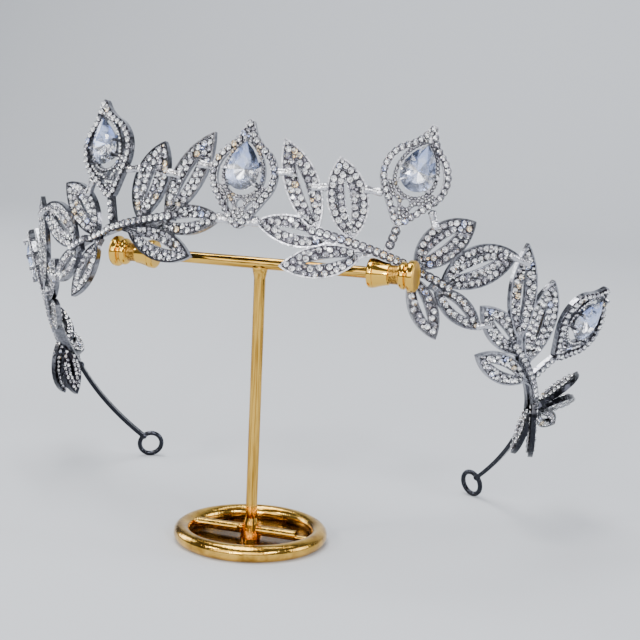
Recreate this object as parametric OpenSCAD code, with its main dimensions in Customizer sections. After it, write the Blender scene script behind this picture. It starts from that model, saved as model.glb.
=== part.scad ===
// Leaf tiara with pear-cut drops, resting on a small turned T-bar stand.
// Millimetres, +Z up. The origin is the centre of the stand's underside, below the post.
// The bar runs along X and the front of the tiara faces -Y.
// Points on the tiara are given as [along, up, out]: along the band from its middle, up its
// flared face, and out from that face. The left half mirrors the right half, on its own bend.

/* [Stand] */
// Height of the bar's axis above the floor
bar_height = 86.9; // [80:0.1:95]
// Radius of the post and of the bar
rod_r = 1.8; // [1.5:0.1:2.5]
// Mean radius of the ring base
ring_r = 21.3; // [18:0.1:26]
// Radius of the ring's round section
ring_tube_r = 2.6; // [2:0.1:3.5]
// Thickness of the floor plate in the ring
plate_t = 0.9; // [0.6:0.1:1.5]

/* [Knobs] */
// Distance of a knob's outer face from the post
knob_end = 49.3; // [47:0.1:55]
// Length of a knob
knob_len = 14.8; // [13:0.1:16]
// Radius of a knob's end disc
knob_disc_r = 4.8; // [4.2:0.1:5.4]
// Radius of a knob's waist
knob_waist_r = 2.85; // [2.6:0.05:3.2]

/* [Band] */
// Arcs of the right half of the band, from its middle: the length and radius of each
right_arcs = [[69, 94.6], [69, 61.4], [50, 116.2]]; // [30:0.1:130]
// Arcs of the left half, which is bent in a little further
left_arcs = [[69, 93.5], [31, 52], [38, 100], [50, 80]]; // [30:0.1:130]
// Length along the band at which its side ends and its plain tail starts
side_len = 138; // [136:1:140]
// Length along the band of the middle of an end loop
loop_at = 183.1; // [175:0.1:190]
// Angle by which the face flares out from the band's own axis
flare = 33.2; // [25:0.1:40]

/* [Pose on the stand] */
// Angle by which the tiara leans back over the bar
lean = 47.1; // [44:0.1:50]
// Angle by which its right side hangs lower
roll = 1.4; // [0:0.1:3]
// Angle by which it is turned about the post
turn = 1.3; // [0:0.1:3]
// Place of the band's middle
rest_point = [-4.55, -6.97, 99.88]; // [-120:0.01:120]
// Angle by which the right tail is bent down to the floor
tail_bend_right = 1.34; // [1.1:0.02:1.34]
// Angle by which the left tail is bent down to the floor
tail_bend_left = 4.4; // [4.2:0.05:4.4]

/* [Leaves] */
// Thickness of a leaf's rim
leaf_t = 1.6; // [1.2:0.1:2]
// Thickness of a leaf's floor, under its stones
leaf_floor = 0.9; // [0.6:0.1:1.1]
// Width of the rim
leaf_rim = 0.5; // [0.4:0.05:0.8]
// Half width of the slot cut through a leaf
slot_half = 0.7; // [0.4:0.05:1]

/* [Drops] */
// Radius of a drop frame's round part
drop_r = 10.6; // [9:0.1:11]
// Radius of a drop frame's blunt foot
drop_foot_r = 3; // [2.8:0.1:4]
// Radius of a drop frame's tip
drop_end_r = 1.4; // [1.2:0.05:1.6]
// Width of a drop frame's stone channel
channel_w = 2.2; // [2.1:0.1:2.8]
// Thickness of a drop frame
drop_t = 1.7; // [1.4:0.1:2.2]
// Radius of a pear stone's round end
pear_r = 5.2; // [4.6:0.1:5.4]
// Length of a pear stone above the middle of its round end
pear_tip = 9.4; // [8:0.1:9.6]
// Diameter of a small round stone
stone_d = 1.9; // [1.5:0.1:2]
// Distance between the middles of two small stones
stone_pitch = 2.1; // [2.1:0.05:2.6]

/* [Wire] */
// Thickness of the plain wire
wire_t = 1.4; // [1.2:0.1:2]
// Height of the plain wire
wire_h = 1.9; // [1.6:0.1:2.6]
// Angle between an end loop and the band's own plane
loop_lean = 42; // [20:1:60]
// Radius of the round wire of an end loop
loop_wire_r = 0.85; // [0.7:0.05:1.2]
// Outer radius of an end loop
loop_r = 4.9; // [4.4:0.1:5.5]

/* [Hidden] */
$fn = 48;
arc_fn = 160;
lap = 0.4;
seat_gap = 0.06;

// Bare colours of the pieces
steel_colour = "#6f7380";
gold_colour = "#d6ab4e";
pear_colour = "#c9d8f4";
crystal_colour = "#eef1f5";

// Leaves of the right half: foot, tip, bulge to the left and bulge to the right, seen from the
// front with the foot at the bottom, and, where it is twisted about its own length, the angle.
LEAVES = [
    [[24.2, 0.1, 0.2], [9.4, 26.3, 0.4], 4.7, 5.9],
    [[34.4, 1.1, 0], [24.4, 24.4, 0], 5.7, 6.8],
    [[29.4, -0.3, 0.1], [5.0, 0.4, 0.4], 4.6, 4.7],
    [[39.4, -0.6, -0.2], [14.8, -11.5, -0.4], 5.5, 4.5],
    [[54.7, 1.2, -2.0], [63.9, 22.3, 0.2], 6.9, 4.9],
    [[63.6, 0.6, -0.2], [78.4, 21.4, 0.4], 7.4, 5.1],
    [[54.6, -0.8, -2.0], [71.0, -14.3, 0.2], 4.3, 4.5],
    [[62.0, -1.0, 0.1], [82.3, -3.6, 0.4], 4.2, 4.1],
    [[101.4, 1.4, 0.2], [78.0, 2.2, 0], 4.9, 5.2],
    [[112.4, -0.4, 0], [87.0, -10.2, 0], 4.7, 4.7],
    [[96.4, 2.6, 0.5], [78.9, 26.2, 0.0], 5.2, 4.8],
    [[105.8, 1.6, -0.1], [92.3, 24.3, -0.8], 5.9, 6.3],
    [[128.2, 2.6, 0.4], [131.0, 24.0, -0.6], 4.2, 4.2, 40],
    [[131.0, 3.6, 0.4], [146.0, 26.0, 0.6], 5.4, 5.4, 20],
    [[131.4, 2.4, 0.8], [147.8, 15.0, 2.4], 3.4, 3.4, 0],
    [[122.6, 0.6, 0.8], [141.8, -5.8, 8.4], 4.8, 4.8, -40],
    [[125.4, 0.4, 0.2], [141.6, -9.4, 3.9], 4.4, 4.4, -40]
];
// Drop frames: foot and tip
CENTRE_DROP = [[0.3, -2.5, 1.2], [0.3, 30.3, 1.2]];
INNER_DROP = [[44.6, 10.4, 0.3], [44.0, 42.2, 0.3]];
OUTER_DROP = [[112.8, 11.2, 0.2], [107.4, 38.9, -0.4]];
// Bare bars of the right half: the two ends and the width
STRUTS = [
    [[44.9, 0.6, 0], [44.9, 11.6, 0.2], 2.4],
    [[112.2, 1.0, 0], [112.8, 12.6, 0.2], 2.4],
    [[0.4, -0.4, 0.8], [6.2, 0.3, 0.6], 2.2],
    [[9.0, 15.6, 0.6], [13.0, 16.4, 0.6], 1.8],
    [[19.6, 13.4, 0.2], [23.0, 14.4, 0.2], 1.8],
    [[33.4, 17.2, 0.1], [37.4, 17.8, 0.2], 1.8],
    [[52.0, 18.2, 0.2], [54.6, 14.8, 0.2], 1.8],
    [[76.8, 19.6, 0.3], [82.0, 21.4, 0.3], 1.6],
    [[80.6, -3.4, 0.3], [84.0, -0.6, 0.1], 1.6],
    [[127.0, 0.4, 0.1], [132.2, 6.2, 0.2], 2.6]
];

drop_tip_r = 12;
foot_share = 0.49;
pear_side_r = 12.4;
// Gap below a stone, between its round end and the lattice
pear_gap = 0.9;
pear_y = (pear_tip * pear_tip - 2 * pear_side_r * pear_r + pear_r * pear_r) / (2 * pear_tip);
pear_x = sqrt(pow(pear_side_r - pear_r, 2) - pear_y * pear_y);
pear_z = 2.75;
girdle_h = 0.3;

function unit(v) = v / norm(v);
function deg(arc, radius) = arc / radius * 180 / PI;

// Length, turning and centre at the start of arc i of the half in hand
$arcs = right_arcs;
function start_of(i) = i == 0 ? 0 : start_of(i - 1) + $arcs[i - 1][0];
function turn_of(i) = i == 0 ? 0 : turn_of(i - 1) + deg($arcs[i - 1][0], $arcs[i - 1][1]);
function centre_of(i) =
    i == 0 ? [0, $arcs[0][1]]
    : centre_of(i - 1) + ($arcs[i - 1][1] - $arcs[i][1]) * side_of(turn_of(i));
function arc_at(s, i = 0) = i == len($arcs) - 1 || s < start_of(i + 1) ? i : arc_at(s, i + 1);

// Heading of the band, in degrees, at a length along it
function heading(s) =
    let (i = arc_at(s))
    turn_of(i) + deg(s - start_of(i), $arcs[i][1]);

// Outward direction, in the band's own plane, of a heading and of a length along the band
function side_of(a) = [sin(a), -cos(a)];
function outside(s) = side_of(heading(s));

// Point of the band in its own plane
function plan(s) = centre_of(arc_at(s)) + $arcs[arc_at(s)][1] * outside(s);

// Point of the flared face, from [along, up, out]
function spot(p) =
    let (r = p[1] * sin(flare) + p[2] * cos(flare))
    let (q = plan(p[0]) + r * outside(p[0]))
    [q[0], q[1], p[1] * cos(flare) - p[2] * sin(flare)];

// Direction square to the face, pointing out
function face_out(s) =
    [cos(flare) * outside(s)[0], cos(flare) * outside(s)[1], -sin(flare)];

// Puts a flat piece on the face: its Y runs from foot to tip and its Z points out
module set_on(foot, tip) {
    start = spot(foot);
    up = unit(spot(tip) - start);
    raw = face_out(foot[0]) + face_out(tip[0]);
    out = unit(raw - up * (raw * up));
    across = cross(up, out);
    multmatrix([
        [across[0], up[0], out[0], start[0]],
        [across[1], up[1], out[1], start[1]],
        [across[2], up[2], out[2], start[2]],
        [0, 0, 0, 1]
    ]) children();
}

// The tiara's own frame, set down on the stand
module on_stand() {
    translate(rest_point)
        rotate([0, 0, turn])
            rotate([0, roll, 0])
                rotate([-lean, 0, 0])
                    children();
}

// The same piece on the left half
module on_left() {
    mirror([1, 0, 0]) let ($arcs = left_arcs) children();
}

// Pointed leaf shape between two arcs, drawn in by inset
module leaf_shape(len, left, right, inset = 0) {
    r_left = (len * len / 4 + left * left) / (2 * left);
    r_right = (len * len / 4 + right * right) / (2 * right);
    intersection() {
        translate([right - r_right, len / 2]) circle(r_right - inset, $fn = arc_fn);
        translate([r_left - left, len / 2]) circle(r_left - inset, $fn = arc_fn);
    }
}

// One leaf: a raised rim round a lower floor, a cut slot and a plain stalk
module leaf(foot, tip, left, right, twist = 0) {
    len = norm(spot(tip) - spot(foot));
    middle = (right - left) / 2;
    set_on(foot, tip) rotate([0, twist, 0]) difference() {
        union() {
            linear_extrude(leaf_t) leaf_shape(len, left, right);
            linear_extrude(leaf_t)
                polygon([[-1.2, -1.4], [1.2, -1.4], [0.9, len * 0.16], [-0.9, len * 0.16]]);
        }
        translate([0, 0, leaf_floor])
            linear_extrude(leaf_t)
                difference() {
                    leaf_shape(len, left, right, leaf_rim);
                    translate([-3, -3]) square([6, 3 + len * 0.12]);
                }
        translate([middle, len * 0.2, -leaf_t])
            linear_extrude(3 * leaf_t)
                leaf_shape(len * 0.54, slot_half, slot_half);
    }
}

// Flat bar between two points of the face
module strut(foot, tip, width) {
    len = norm(spot(tip) - spot(foot));
    set_on(foot, tip)
        translate([-width / 2, -lap, 0])
            cube([width, len + 2 * lap, 1.5]);
}

// Bar that follows the band between two lengths, one turned piece for each arc
module band_bar(from, to, low, high, inner, outer) {
    for (i = [arc_at(from):arc_at(to - 0.01)]) {
        first = max(from, start_of(i));
        last = min(to, start_of(i) + $arcs[i][0]);
        centre = centre_of(i);
        a = turn_of(i) + deg(first - start_of(i), $arcs[i][1]);
        translate([centre[0], centre[1], 0])
            rotate([0, 0, a - 90])
                rotate_extrude(angle = deg(last - first, $arcs[i][1]), $fn = 4 * arc_fn)
                    translate([$arcs[i][1], 0])
                        rotate(-flare)
                            translate([inner, low])
                                square([outer - inner, high - low]);
    }
}

function length_of(drop) = norm(spot(drop[1]) - spot(drop[0]));
function foot_angle(c) = asin((drop_r - drop_foot_r) / (c - drop_foot_r));

// Middle of the hollow arc that joins a drop's round part to its tip
function top_y(c, len) =
    let (d = len - drop_end_r - c)
    (d * d + pow(drop_r + drop_tip_r, 2) - pow(drop_end_r + drop_tip_r, 2)) / (2 * d);
function top_x(c, len) = sqrt(pow(drop_r + drop_tip_r, 2) - pow(top_y(c, len), 2));

function round_points(centre, radius, from, to, steps, first = 0) = [
    for (i = [first:steps])
        let (a = from + (to - from) * i / steps)
        centre + radius * [cos(a), sin(a)]
];

// Right side of a drop's outline: round foot, straight side, round part, hollow arc and round tip
function drop_side(len, inset) =
    let (c = len * foot_share)
    let (half_foot = foot_angle(c))
    let (tx = top_x(c, len))
    let (ty = top_y(c, len))
    let (top_a = atan2(ty, tx))
    let (pointed = inset >= drop_end_r)
    let (tip_a = pointed ? acos(tx / (drop_tip_r + inset)) : atan2(c + ty + drop_end_r - len, tx))
    concat(
        round_points([0, drop_foot_r], drop_foot_r - inset, -90, -half_foot, 4),
        round_points([0, c], drop_r - inset, -half_foot, top_a, 12),
        round_points([tx, c + ty], drop_tip_r + inset, 180 + top_a, 180 + tip_a, 5, 1),
        pointed ? []
        : round_points([0, len - drop_end_r], drop_end_r - inset, tip_a, 90, 4, 1)
    );

module drop_shape(len, inset = 0) {
    side = drop_side(len, inset);
    last = len(side) - 1;
    polygon(concat(
        [for (i = [0:last - 1]) side[i]],
        [[0, side[last][1]]],
        [for (i = [last - 1:-1:1]) [-side[i][0], side[i][1]]]
    ));
}

// Point of a pear's outline at an angle from the middle of its round end
function pear_edge(a, grow = 0) =
    let (side = atan2(-pear_y, pear_x))
    let (f = a > 90 ? 180 - a : a)
    let (b = pear_x * cos(f) - pear_y * sin(f))
    let (k = pear_x * pear_x + pear_y * pear_y - pow(pear_side_r + grow, 2))
    let (r = f < side ? pear_r + grow : sqrt(b * b - k) - b)
    r * [cos(a), sin(a)];

// Pear outline, grown by grow
module pear_shape(grow = 0) {
    polygon([for (a = [90:-12:-258]) pear_edge(a < -180 ? a + 360 : a, grow)]);
}

function pear_middle(len) = len * foot_share + 0.4;

// Opening or ring round a pear stone, a little longer at its round end
module pear_ring(grow) {
    pear_shape(grow);
    translate([0, -pear_gap]) pear_shape(grow);
}

// One drop frame with its stone channel, inner ring, lattice, collet and prongs
module drop_frame(drop) {
    len = length_of(drop);
    mid = pear_middle(len);
    half_foot = foot_angle(len * foot_share);
    set_on(drop[0], drop[1]) {
        linear_extrude(drop_t) difference() {
            union() {
                difference() {
                    drop_shape(len);
                    drop_shape(len, channel_w);
                }
                intersection() {
                    drop_shape(len, channel_w - 0.1);
                    translate([-12, 0]) square([24, mid - 3.6]);
                }
                intersection() {
                    drop_shape(len, channel_w - 0.1);
                    translate([-12, mid + 6.2]) square([24, 12]);
                }
                translate([0, mid]) pear_ring(1.45);
            }
            translate([0, mid]) pear_ring(0.45);
            translate([0, mid - pear_r - 3.7]) circle(1.2, $fn = 24);
            for (turn_to = [-1, 1])
                translate([turn_to * 3.0, mid - pear_r - 4.5])
                    rotate(-turn_to * half_foot)
                        translate([0, -1.8])
                            leaf_shape(3.6, 0.7, 0.7);
        }
        // collet under the stone, carried by four arms
        translate([0, mid, 0.2]) linear_extrude(0.85) difference() {
            pear_shape(-1.5);
            pear_shape(-2.4);
        }
        for (a = [35, 145, 215, 325])
            translate([0, mid, 0.2])
                rotate([0, 0, a])
                    translate([pear_r - 1.9, -0.6, 0])
                        cube([3.1, 1.2, 1.1]);
        // prongs with their claws over the stone's edge
        for (a = [-38, 8, 172, 218])
            translate([0, mid, 0]) rotate([0, 0, a]) prong(pear_r + 0.75);
        translate([0, mid + pear_tip + 0.75, 0]) rotate([0, 0, 90]) prong(0.1);
    }
}

// One prong: a post at a distance along X and a claw that points back
module prong(reach) {
    translate([reach, 0, drop_t / 2])
        cylinder(r = 0.55, h = pear_z + 1.9 - drop_t / 2, $fn = 8);
    translate([reach, 0, pear_z + 1.5])
        rotate([0, -90, 0])
            cylinder(r = 0.35, h = 1.5, $fn = 6);
}

CUT_ANGLES = [90, 68, 48, 28, 6, -18, -42, -66, -90, -114, -138, -162, 174, 152, 132, 112];
cut_middle = [0, 1.2];

// Ring of the cut's points: every step-th outline point, drawn to the middle by scale
function cut_ring(first, step, size, z) = [
    for (i = [first:step:15])
        let (p = cut_middle + size * (pear_edge(CUT_ANGLES[i]) - cut_middle))
        [p[0], p[1], z]
];

// Faceted pear: table, star and main facets, girdle, and two tiers below it
module cut_pear() {
    points = concat(
        cut_ring(0, 2, 0.56, pear_z + girdle_h + 1.35),
        cut_ring(1, 2, 0.80, pear_z + girdle_h + 0.85),
        cut_ring(0, 1, 1.0, pear_z + girdle_h),
        cut_ring(0, 1, 1.0, pear_z),
        cut_ring(1, 2, 0.5, pear_z - 1.5),
        [[cut_middle[0], cut_middle[1], pear_z - 2.5]]
    );
    star = 8;
    top = 16;
    low = 32;
    deep = 48;
    culet = 56;
    faces = concat(
        [[for (i = [0:7]) i]],
        [for (i = [0:7]) [i, star + i, (i + 1) % 8]],
        [for (i = [0:7]) [star + i, top + (2 * i + 2) % 16, (i + 1) % 8]],
        [for (i = [0:7]) [star + (i + 1) % 8, (i + 1) % 8, top + (2 * i + 2) % 16]],
        [for (i = [0:7]) [star + i, top + 2 * i, top + 2 * i + 1]],
        [for (i = [0:7]) [star + i, top + 2 * i + 1, top + (2 * i + 2) % 16]],
        [for (i = [0:15]) [top + i, low + i, low + (i + 1) % 16]],
        [for (i = [0:15]) [top + i, low + (i + 1) % 16, top + (i + 1) % 16]],
        [for (i = [0:7]) [low + 2 * i, deep + i, low + 2 * i + 1]],
        [for (i = [0:7]) [low + 2 * i + 1, deep + i, low + (2 * i + 2) % 16]],
        [for (i = [0:7]) [low + (2 * i + 2) % 16, deep + i, deep + (i + 1) % 8]],
        [for (i = [0:7]) [culet, deep + (i + 1) % 8, deep + i]]
    );
    polyhedron(points, faces);
}

module pear_stone(drop) {
    set_on(drop[0], drop[1])
        translate([0, pear_middle(length_of(drop)), 0])
            cut_pear();
}

// Small flat-backed stone: eight crown facets and a table
module small_stone() {
    cylinder(r1 = stone_d / 2, r2 = stone_d * 0.27, h = 0.85, $fn = 8);
}

// Middle line of a drop's channel, on its right half, by length from the foot
function channel_point(len, t) =
    let (inset = channel_w / 2)
    let (c = len * foot_share)
    let (half_foot = foot_angle(c))
    let (foot_arc = (drop_foot_r - inset) * (90 - half_foot) * PI / 180)
    let (line = foot_arc + (c - drop_foot_r) * cos(half_foot))
    let (top_a = atan2(top_y(c, len), top_x(c, len)))
    let (arc = line + (drop_r - inset) * (half_foot + top_a) * PI / 180)
    t < foot_arc ?
        let (a = -90 + deg(t, drop_foot_r - inset))
        [0, drop_foot_r] + (drop_foot_r - inset) * [cos(a), sin(a)]
    : t < line ?
        [0, drop_foot_r] + (drop_foot_r - inset) * [cos(half_foot), -sin(half_foot)]
            + (t - foot_arc) * [sin(half_foot), cos(half_foot)]
    : t < arc ?
        let (a = -half_foot + deg(t - line, drop_r - inset))
        [0, c] + (drop_r - inset) * [cos(a), sin(a)]
    :
        let (a = top_a + 180 - deg(t - arc, drop_tip_r + inset))
        [top_x(c, len), c + top_y(c, len)] + (drop_tip_r + inset) * [cos(a), sin(a)];

// Stones that fit on one half of a channel, with the last one clear of its twin
function channel_count(len) =
    len_last([for (i = [1:20])
        if (channel_point(len, i * stone_pitch)[0] > stone_d * 0.56 && i * stone_pitch < 1.2 * len)
            i]);
function len_last(list) = list[len(list) - 1];

module drop_stones(drop) {
    len = length_of(drop);
    count = channel_count(len);
    set_on(drop[0], drop[1]) translate([0, 0, drop_t + seat_gap]) {
        translate([0, channel_w / 2]) small_stone();
        translate([0, len - drop_end_r]) small_stone();
        for (i = [1:count]) {
            p = channel_point(len, i * stone_pitch);
            translate([p[0], p[1]]) small_stone();
            translate([-p[0], p[1]]) small_stone();
        }
    }
}

stem_from = 21.5;
stem_to = 66.5;
stem_low = -0.3;
stem_high = 2.1;
stem_inner = -0.8;
stem_outer = 1.9;
// Stretch of the front stem that passes behind a knob, set back from it
back_from = 46.6;
back_to = 58.4;

// Row of stones on the front stem and on the stalk of the inner drop
module stem_row() {
    middle = (stem_low + stem_high) / 2;
    top = stem_outer + seat_gap;
    for (s = [stem_from + 1.2:stone_pitch + 0.05:stem_to - 0.8])
        if (s < back_from || s > back_to)
            set_on([s, middle, 0], [s, middle + 1, 0])
                translate([0, 0, top])
                    small_stone();
    for (h = [4.4:stone_pitch + 0.1:9.6])
        set_on([44.9, h, 0.1], [44.9, h + 1, 0.1])
            translate([0, 0, 1.5 + seat_gap + 0.12])
                small_stone();
}

// Metal of the right half, without the centre drop and the tail
module half_frame() {
    for (l = LEAVES) leaf(l[0], l[1], l[2], l[3], len(l) > 4 ? l[4] : 0);
    for (b = STRUTS) strut(b[0], b[1], b[2]);
    drop_frame(INNER_DROP);
    drop_frame(OUTER_DROP);
    band_bar(stem_from, back_from + 1, stem_low, stem_high, stem_inner, stem_outer);
    band_bar(back_from, back_to, 0.2, stem_high, stem_inner - 1.4, -0.2);
    band_bar(back_to - 0.8, stem_to, stem_low, stem_high, stem_inner, stem_outer);
    band_bar(94.5, 131.5, stem_low, stem_high, stem_inner, stem_outer);
    band_bar(104, side_len, -wire_h / 2, wire_h / 2, 0.1 - wire_t, 0.1);
}

// Solder bead round the middle of the wire, at a length along the band
module wire_bead(s, radius) {
    middle = plan(s) + (0.1 - wire_t / 2) * cos(flare) * outside(s);
    translate([middle[0], middle[1], (wire_t / 2 - 0.1) * sin(flare)])
        sphere(r = radius, $fn = 24);
}

// Plain tail wire with its end loop, bent down about the end of the side
module tail(bend) {
    hinge = plan(side_len);
    axis = outside(side_len);
    end = plan(loop_at);
    loop_arm = loop_r - loop_wire_r;
    wire_bead(side_len, 1.35);
    translate([hinge[0], hinge[1], 0])
        rotate(a = -bend, v = [axis[0], axis[1], 0])
            translate([-hinge[0], -hinge[1], 0]) {
                band_bar(side_len, loop_at - loop_arm, -wire_h / 2, wire_h / 2, 0.1 - wire_t, 0.1);
                wire_bead(loop_at - loop_arm, 1.25);
                translate([end[0], end[1], 0])
                    rotate([0, 0, heading(loop_at)])
                        rotate([loop_lean, 0, 0])
                            rotate_extrude()
                                translate([loop_arm, 0])
                                    circle(loop_wire_r, $fn = 24);
            }
}

module tiara_frame() {
    color(steel_colour)
        on_stand() {
            drop_frame(CENTRE_DROP);
            half_frame();
            tail(tail_bend_right);
            on_left() half_frame();
            on_left() tail(tail_bend_left);
        }
}

module stone_centre() {
    color(pear_colour) on_stand() pear_stone(CENTRE_DROP);
}

module stone_inner_right() {
    color(pear_colour) on_stand() pear_stone(INNER_DROP);
}

module stone_inner_left() {
    color(pear_colour) on_stand() on_left() pear_stone(INNER_DROP);
}

module stone_outer_right() {
    color(pear_colour) on_stand() pear_stone(OUTER_DROP);
}

module stone_outer_left() {
    color(pear_colour) on_stand() on_left() pear_stone(OUTER_DROP);
}

module drop_stones_centre() {
    color(crystal_colour) on_stand() drop_stones(CENTRE_DROP);
}

module drop_stones_inner_right() {
    color(crystal_colour) on_stand() drop_stones(INNER_DROP);
}

module drop_stones_inner_left() {
    color(crystal_colour) on_stand() on_left() drop_stones(INNER_DROP);
}

module drop_stones_outer_right() {
    color(crystal_colour) on_stand() drop_stones(OUTER_DROP);
}

module drop_stones_outer_left() {
    color(crystal_colour) on_stand() on_left() drop_stones(OUTER_DROP);
}

module stem_stones_right() {
    color(crystal_colour) on_stand() stem_row();
}

module stem_stones_left() {
    color(crystal_colour) on_stand() on_left() stem_row();
}

// Ring base with its floor plate, cross rod, post and bar, brazed into one piece
module stand() {
    rod_half = 16.6;
    bar_half = knob_end - 4.2;
    ring_z = ring_tube_r - 0.2;
    color(gold_colour) {
        difference() {
            rotate_extrude($fn = arc_fn)
                translate([ring_r, ring_z])
                    circle(ring_tube_r, $fn = 40);
            translate([-40, -40, -10]) cube([80, 80, 10]);
        }
        cylinder(r = ring_r - 0.6, h = plate_t, $fn = arc_fn);
        translate([-rod_half - 0.6, 0, 3.3]) rotate([0, 90, 0]) cylinder(r = 1.55, h = 2 * rod_half - 1);
        translate([-ring_r, 0, 2.7]) rotate([0, 90, 0]) cylinder(r = 0.8, h = 2 * ring_r);
        translate([-rod_half - 1.2, -0.4, 3.6]) sphere(r = 1.2, $fn = 24);
        translate([-2.9, -1.0, 4.0]) sphere(r = 1.3, $fn = 24);
        cylinder(r = rod_r, h = bar_height);
        translate([0, 0, 0.4]) cylinder(r1 = 3.4, r2 = 2.3, h = 4.8);
        translate([0, 0, 5.2]) cylinder(r1 = 2.3, r2 = rod_r, h = 2.0);
        translate([0, 0, bar_height - 4.6]) cylinder(r1 = rod_r, r2 = 2.5, h = 3.4);
        translate([-bar_half, 0, bar_height]) rotate([0, 90, 0]) cylinder(r = rod_r, h = 2 * bar_half);
    }
}

// Turned knob about Z, open end at zero: lip, cone, waist, bead, groove and end disc
module knob() {
    bore_r = rod_r + 0.12;
    bore_depth = knob_len - 4.0;
    difference() {
        union() {
            rotate_extrude() polygon([
                [0, 0],
                [4.15, 0],
                [4.45, 0.35],
                [4.45, 1.6],
                [4.2, 1.75],
                [4.35, 2.0],
                [3.3, 6.2],
                [knob_waist_r, 6.5],
                [knob_waist_r, 9.1],
                [3.3, 9.3],
                [3.3, 12.0],
                [4.3, 12.1],
                [knob_disc_r, 12.6],
                [knob_disc_r, 13.7],
                [4.3, 14.4],
                [2.8, knob_len],
                [0, knob_len]
            ]);
            translate([0, 0, 10.55]) rotate_extrude() translate([3.0, 0]) circle(1.15, $fn = 24);
        }
        translate([0, 0, -1]) cylinder(r = bore_r, h = bore_depth + 1);
        translate([0, 0, knob_len + 5.6]) sphere(r = 6, $fn = 60);
    }
}

module knob_right() {
    color(gold_colour)
        translate([knob_end - knob_len, 0, bar_height])
            rotate([0, 90, 0])
                knob();
}

module knob_left() {
    color(gold_colour)
        translate([knob_len - knob_end, 0, bar_height])
            rotate([0, -90, 0])
                knob();
}

tiara_frame();
stone_centre();
stone_inner_right();
stone_inner_left();
stone_outer_right();
stone_outer_left();
drop_stones_centre();
drop_stones_inner_right();
drop_stones_inner_left();
drop_stones_outer_right();
drop_stones_outer_left();
stem_stones_right();
stem_stones_left();
stand();
knob_right();
knob_left();
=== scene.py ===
"""Dressed model of a rhinestone leaf tiara resting on its small gold T-bar stand.

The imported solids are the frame. This script sets the small stones, their cups and the metal grains
on them, gives every piece its finish, and lights it on a plain pale floor.
"""

from __future__ import annotations

import logging
import math
from collections.abc import Sequence
from dataclasses import dataclass, field
from enum import Enum

import bpy
import numpy as np
from mathutils import Matrix, Vector

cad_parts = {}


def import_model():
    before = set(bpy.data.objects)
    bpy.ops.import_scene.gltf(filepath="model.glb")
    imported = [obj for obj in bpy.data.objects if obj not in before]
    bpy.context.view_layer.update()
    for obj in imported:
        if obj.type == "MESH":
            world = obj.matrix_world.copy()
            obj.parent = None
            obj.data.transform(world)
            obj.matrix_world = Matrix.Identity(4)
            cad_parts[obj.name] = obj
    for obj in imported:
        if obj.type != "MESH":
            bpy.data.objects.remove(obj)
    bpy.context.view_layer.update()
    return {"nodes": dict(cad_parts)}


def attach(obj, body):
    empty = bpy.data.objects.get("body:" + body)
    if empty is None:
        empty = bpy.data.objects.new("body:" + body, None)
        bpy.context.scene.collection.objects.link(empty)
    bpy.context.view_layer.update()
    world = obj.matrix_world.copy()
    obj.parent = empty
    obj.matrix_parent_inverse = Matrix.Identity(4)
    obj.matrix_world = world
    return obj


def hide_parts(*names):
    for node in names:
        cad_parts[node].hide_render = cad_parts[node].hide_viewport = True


LOG = logging.getLogger("tiara")
MM = 0.001
Point2 = tuple[float, float]
Point3 = tuple[float, float, float]
Face = tuple[int, ...]
StoneSize = tuple[float, float, float, float]
Sockets = dict[object, object]
Material = bpy.types.Material
Tree = bpy.types.NodeTree
Node = bpy.types.Node
Finishes = Sequence[Material]


class Half(Enum):
    """The two halves of the tiara."""

    RIGHT = "right"
    LEFT = "left"


def linear(hex_colour: str) -> tuple[float, float, float, float]:
    """Turn an sRGB hex colour to linear RGBA.

    Args:
        hex_colour: Six hex digits after a hash sign.

    Returns:
        The linear colour with an alpha of one.
    """
    parts = [int(hex_colour[i : i + 2], 16) / 255 for i in (1, 3, 5)]
    r, g, b = (c / 12.92 if c <= 0.04045 else ((c + 0.055) / 1.055) ** 2.4 for c in parts)
    return (r, g, b, 1.0)


def join(tree: Tree, node: Node, links: Sockets) -> None:
    """Join output sockets, or the first outputs of nodes, to the inputs of a node.

    Args:
        tree: The node tree.
        node: The node.
        links: What to join to its input sockets, by name or index.
    """
    for key, source in links.items():
        socket = source.outputs[0] if isinstance(source, Node) else source
        tree.links.new(socket, node.inputs[key])


def add_node(
    tree: Tree,
    kind: str,
    links: Sockets | None = None,
    values: Sockets | None = None,
    **settings: str,
) -> Node:
    """Add one node with its settings, socket values and links.

    Args:
        tree: The node tree.
        kind: The node's type name without its ShaderNode.
        links: Sockets or nodes to join to its input sockets, by name or index.
        values: Default values of its input sockets, by name or index.
        settings: Attributes of the node.

    Returns:
        The new node.
    """
    node = tree.nodes.new(f"ShaderNode{kind}")
    for name, setting in settings.items():
        setattr(node, name, setting)
    for key, value in (values or {}).items():
        node.inputs[key].default_value = value
    join(tree, node, links or {})
    return node


def blank_material(name: str, values: Sockets) -> tuple[Material, Tree, Node, Sockets]:
    """Make a material that holds only its shader, its output and its coordinates.

    Args:
        name: The material's name.
        values: Uniform values of the shader's inputs.

    Returns:
        The material, its tree, its Principled shader and the link that places its textures.
    """
    material = bpy.data.materials.new(name)
    material.use_nodes = True
    tree = material.node_tree
    tree.nodes.clear()
    shader = add_node(tree, "BsdfPrincipled", values=values)
    add_node(tree, "OutputMaterial", {0: shader})
    at = {"Vector": add_node(tree, "TexCoord").outputs["Object"]}
    return material, tree, shader, at


def pattern(feature_mm: float, detail: float = 0.0) -> Sockets:
    """Values of a texture whose features are so many millimetres wide."""
    return {"Scale": 1 / (feature_mm * MM), "Detail": detail}


def span(end: str, low: float, high: float, unit: float = 1.0) -> Sockets:
    """Values of one end of a Map Range, From or To."""
    return {f"{end} Min": low * unit, f"{end} Max": high * unit}


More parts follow.
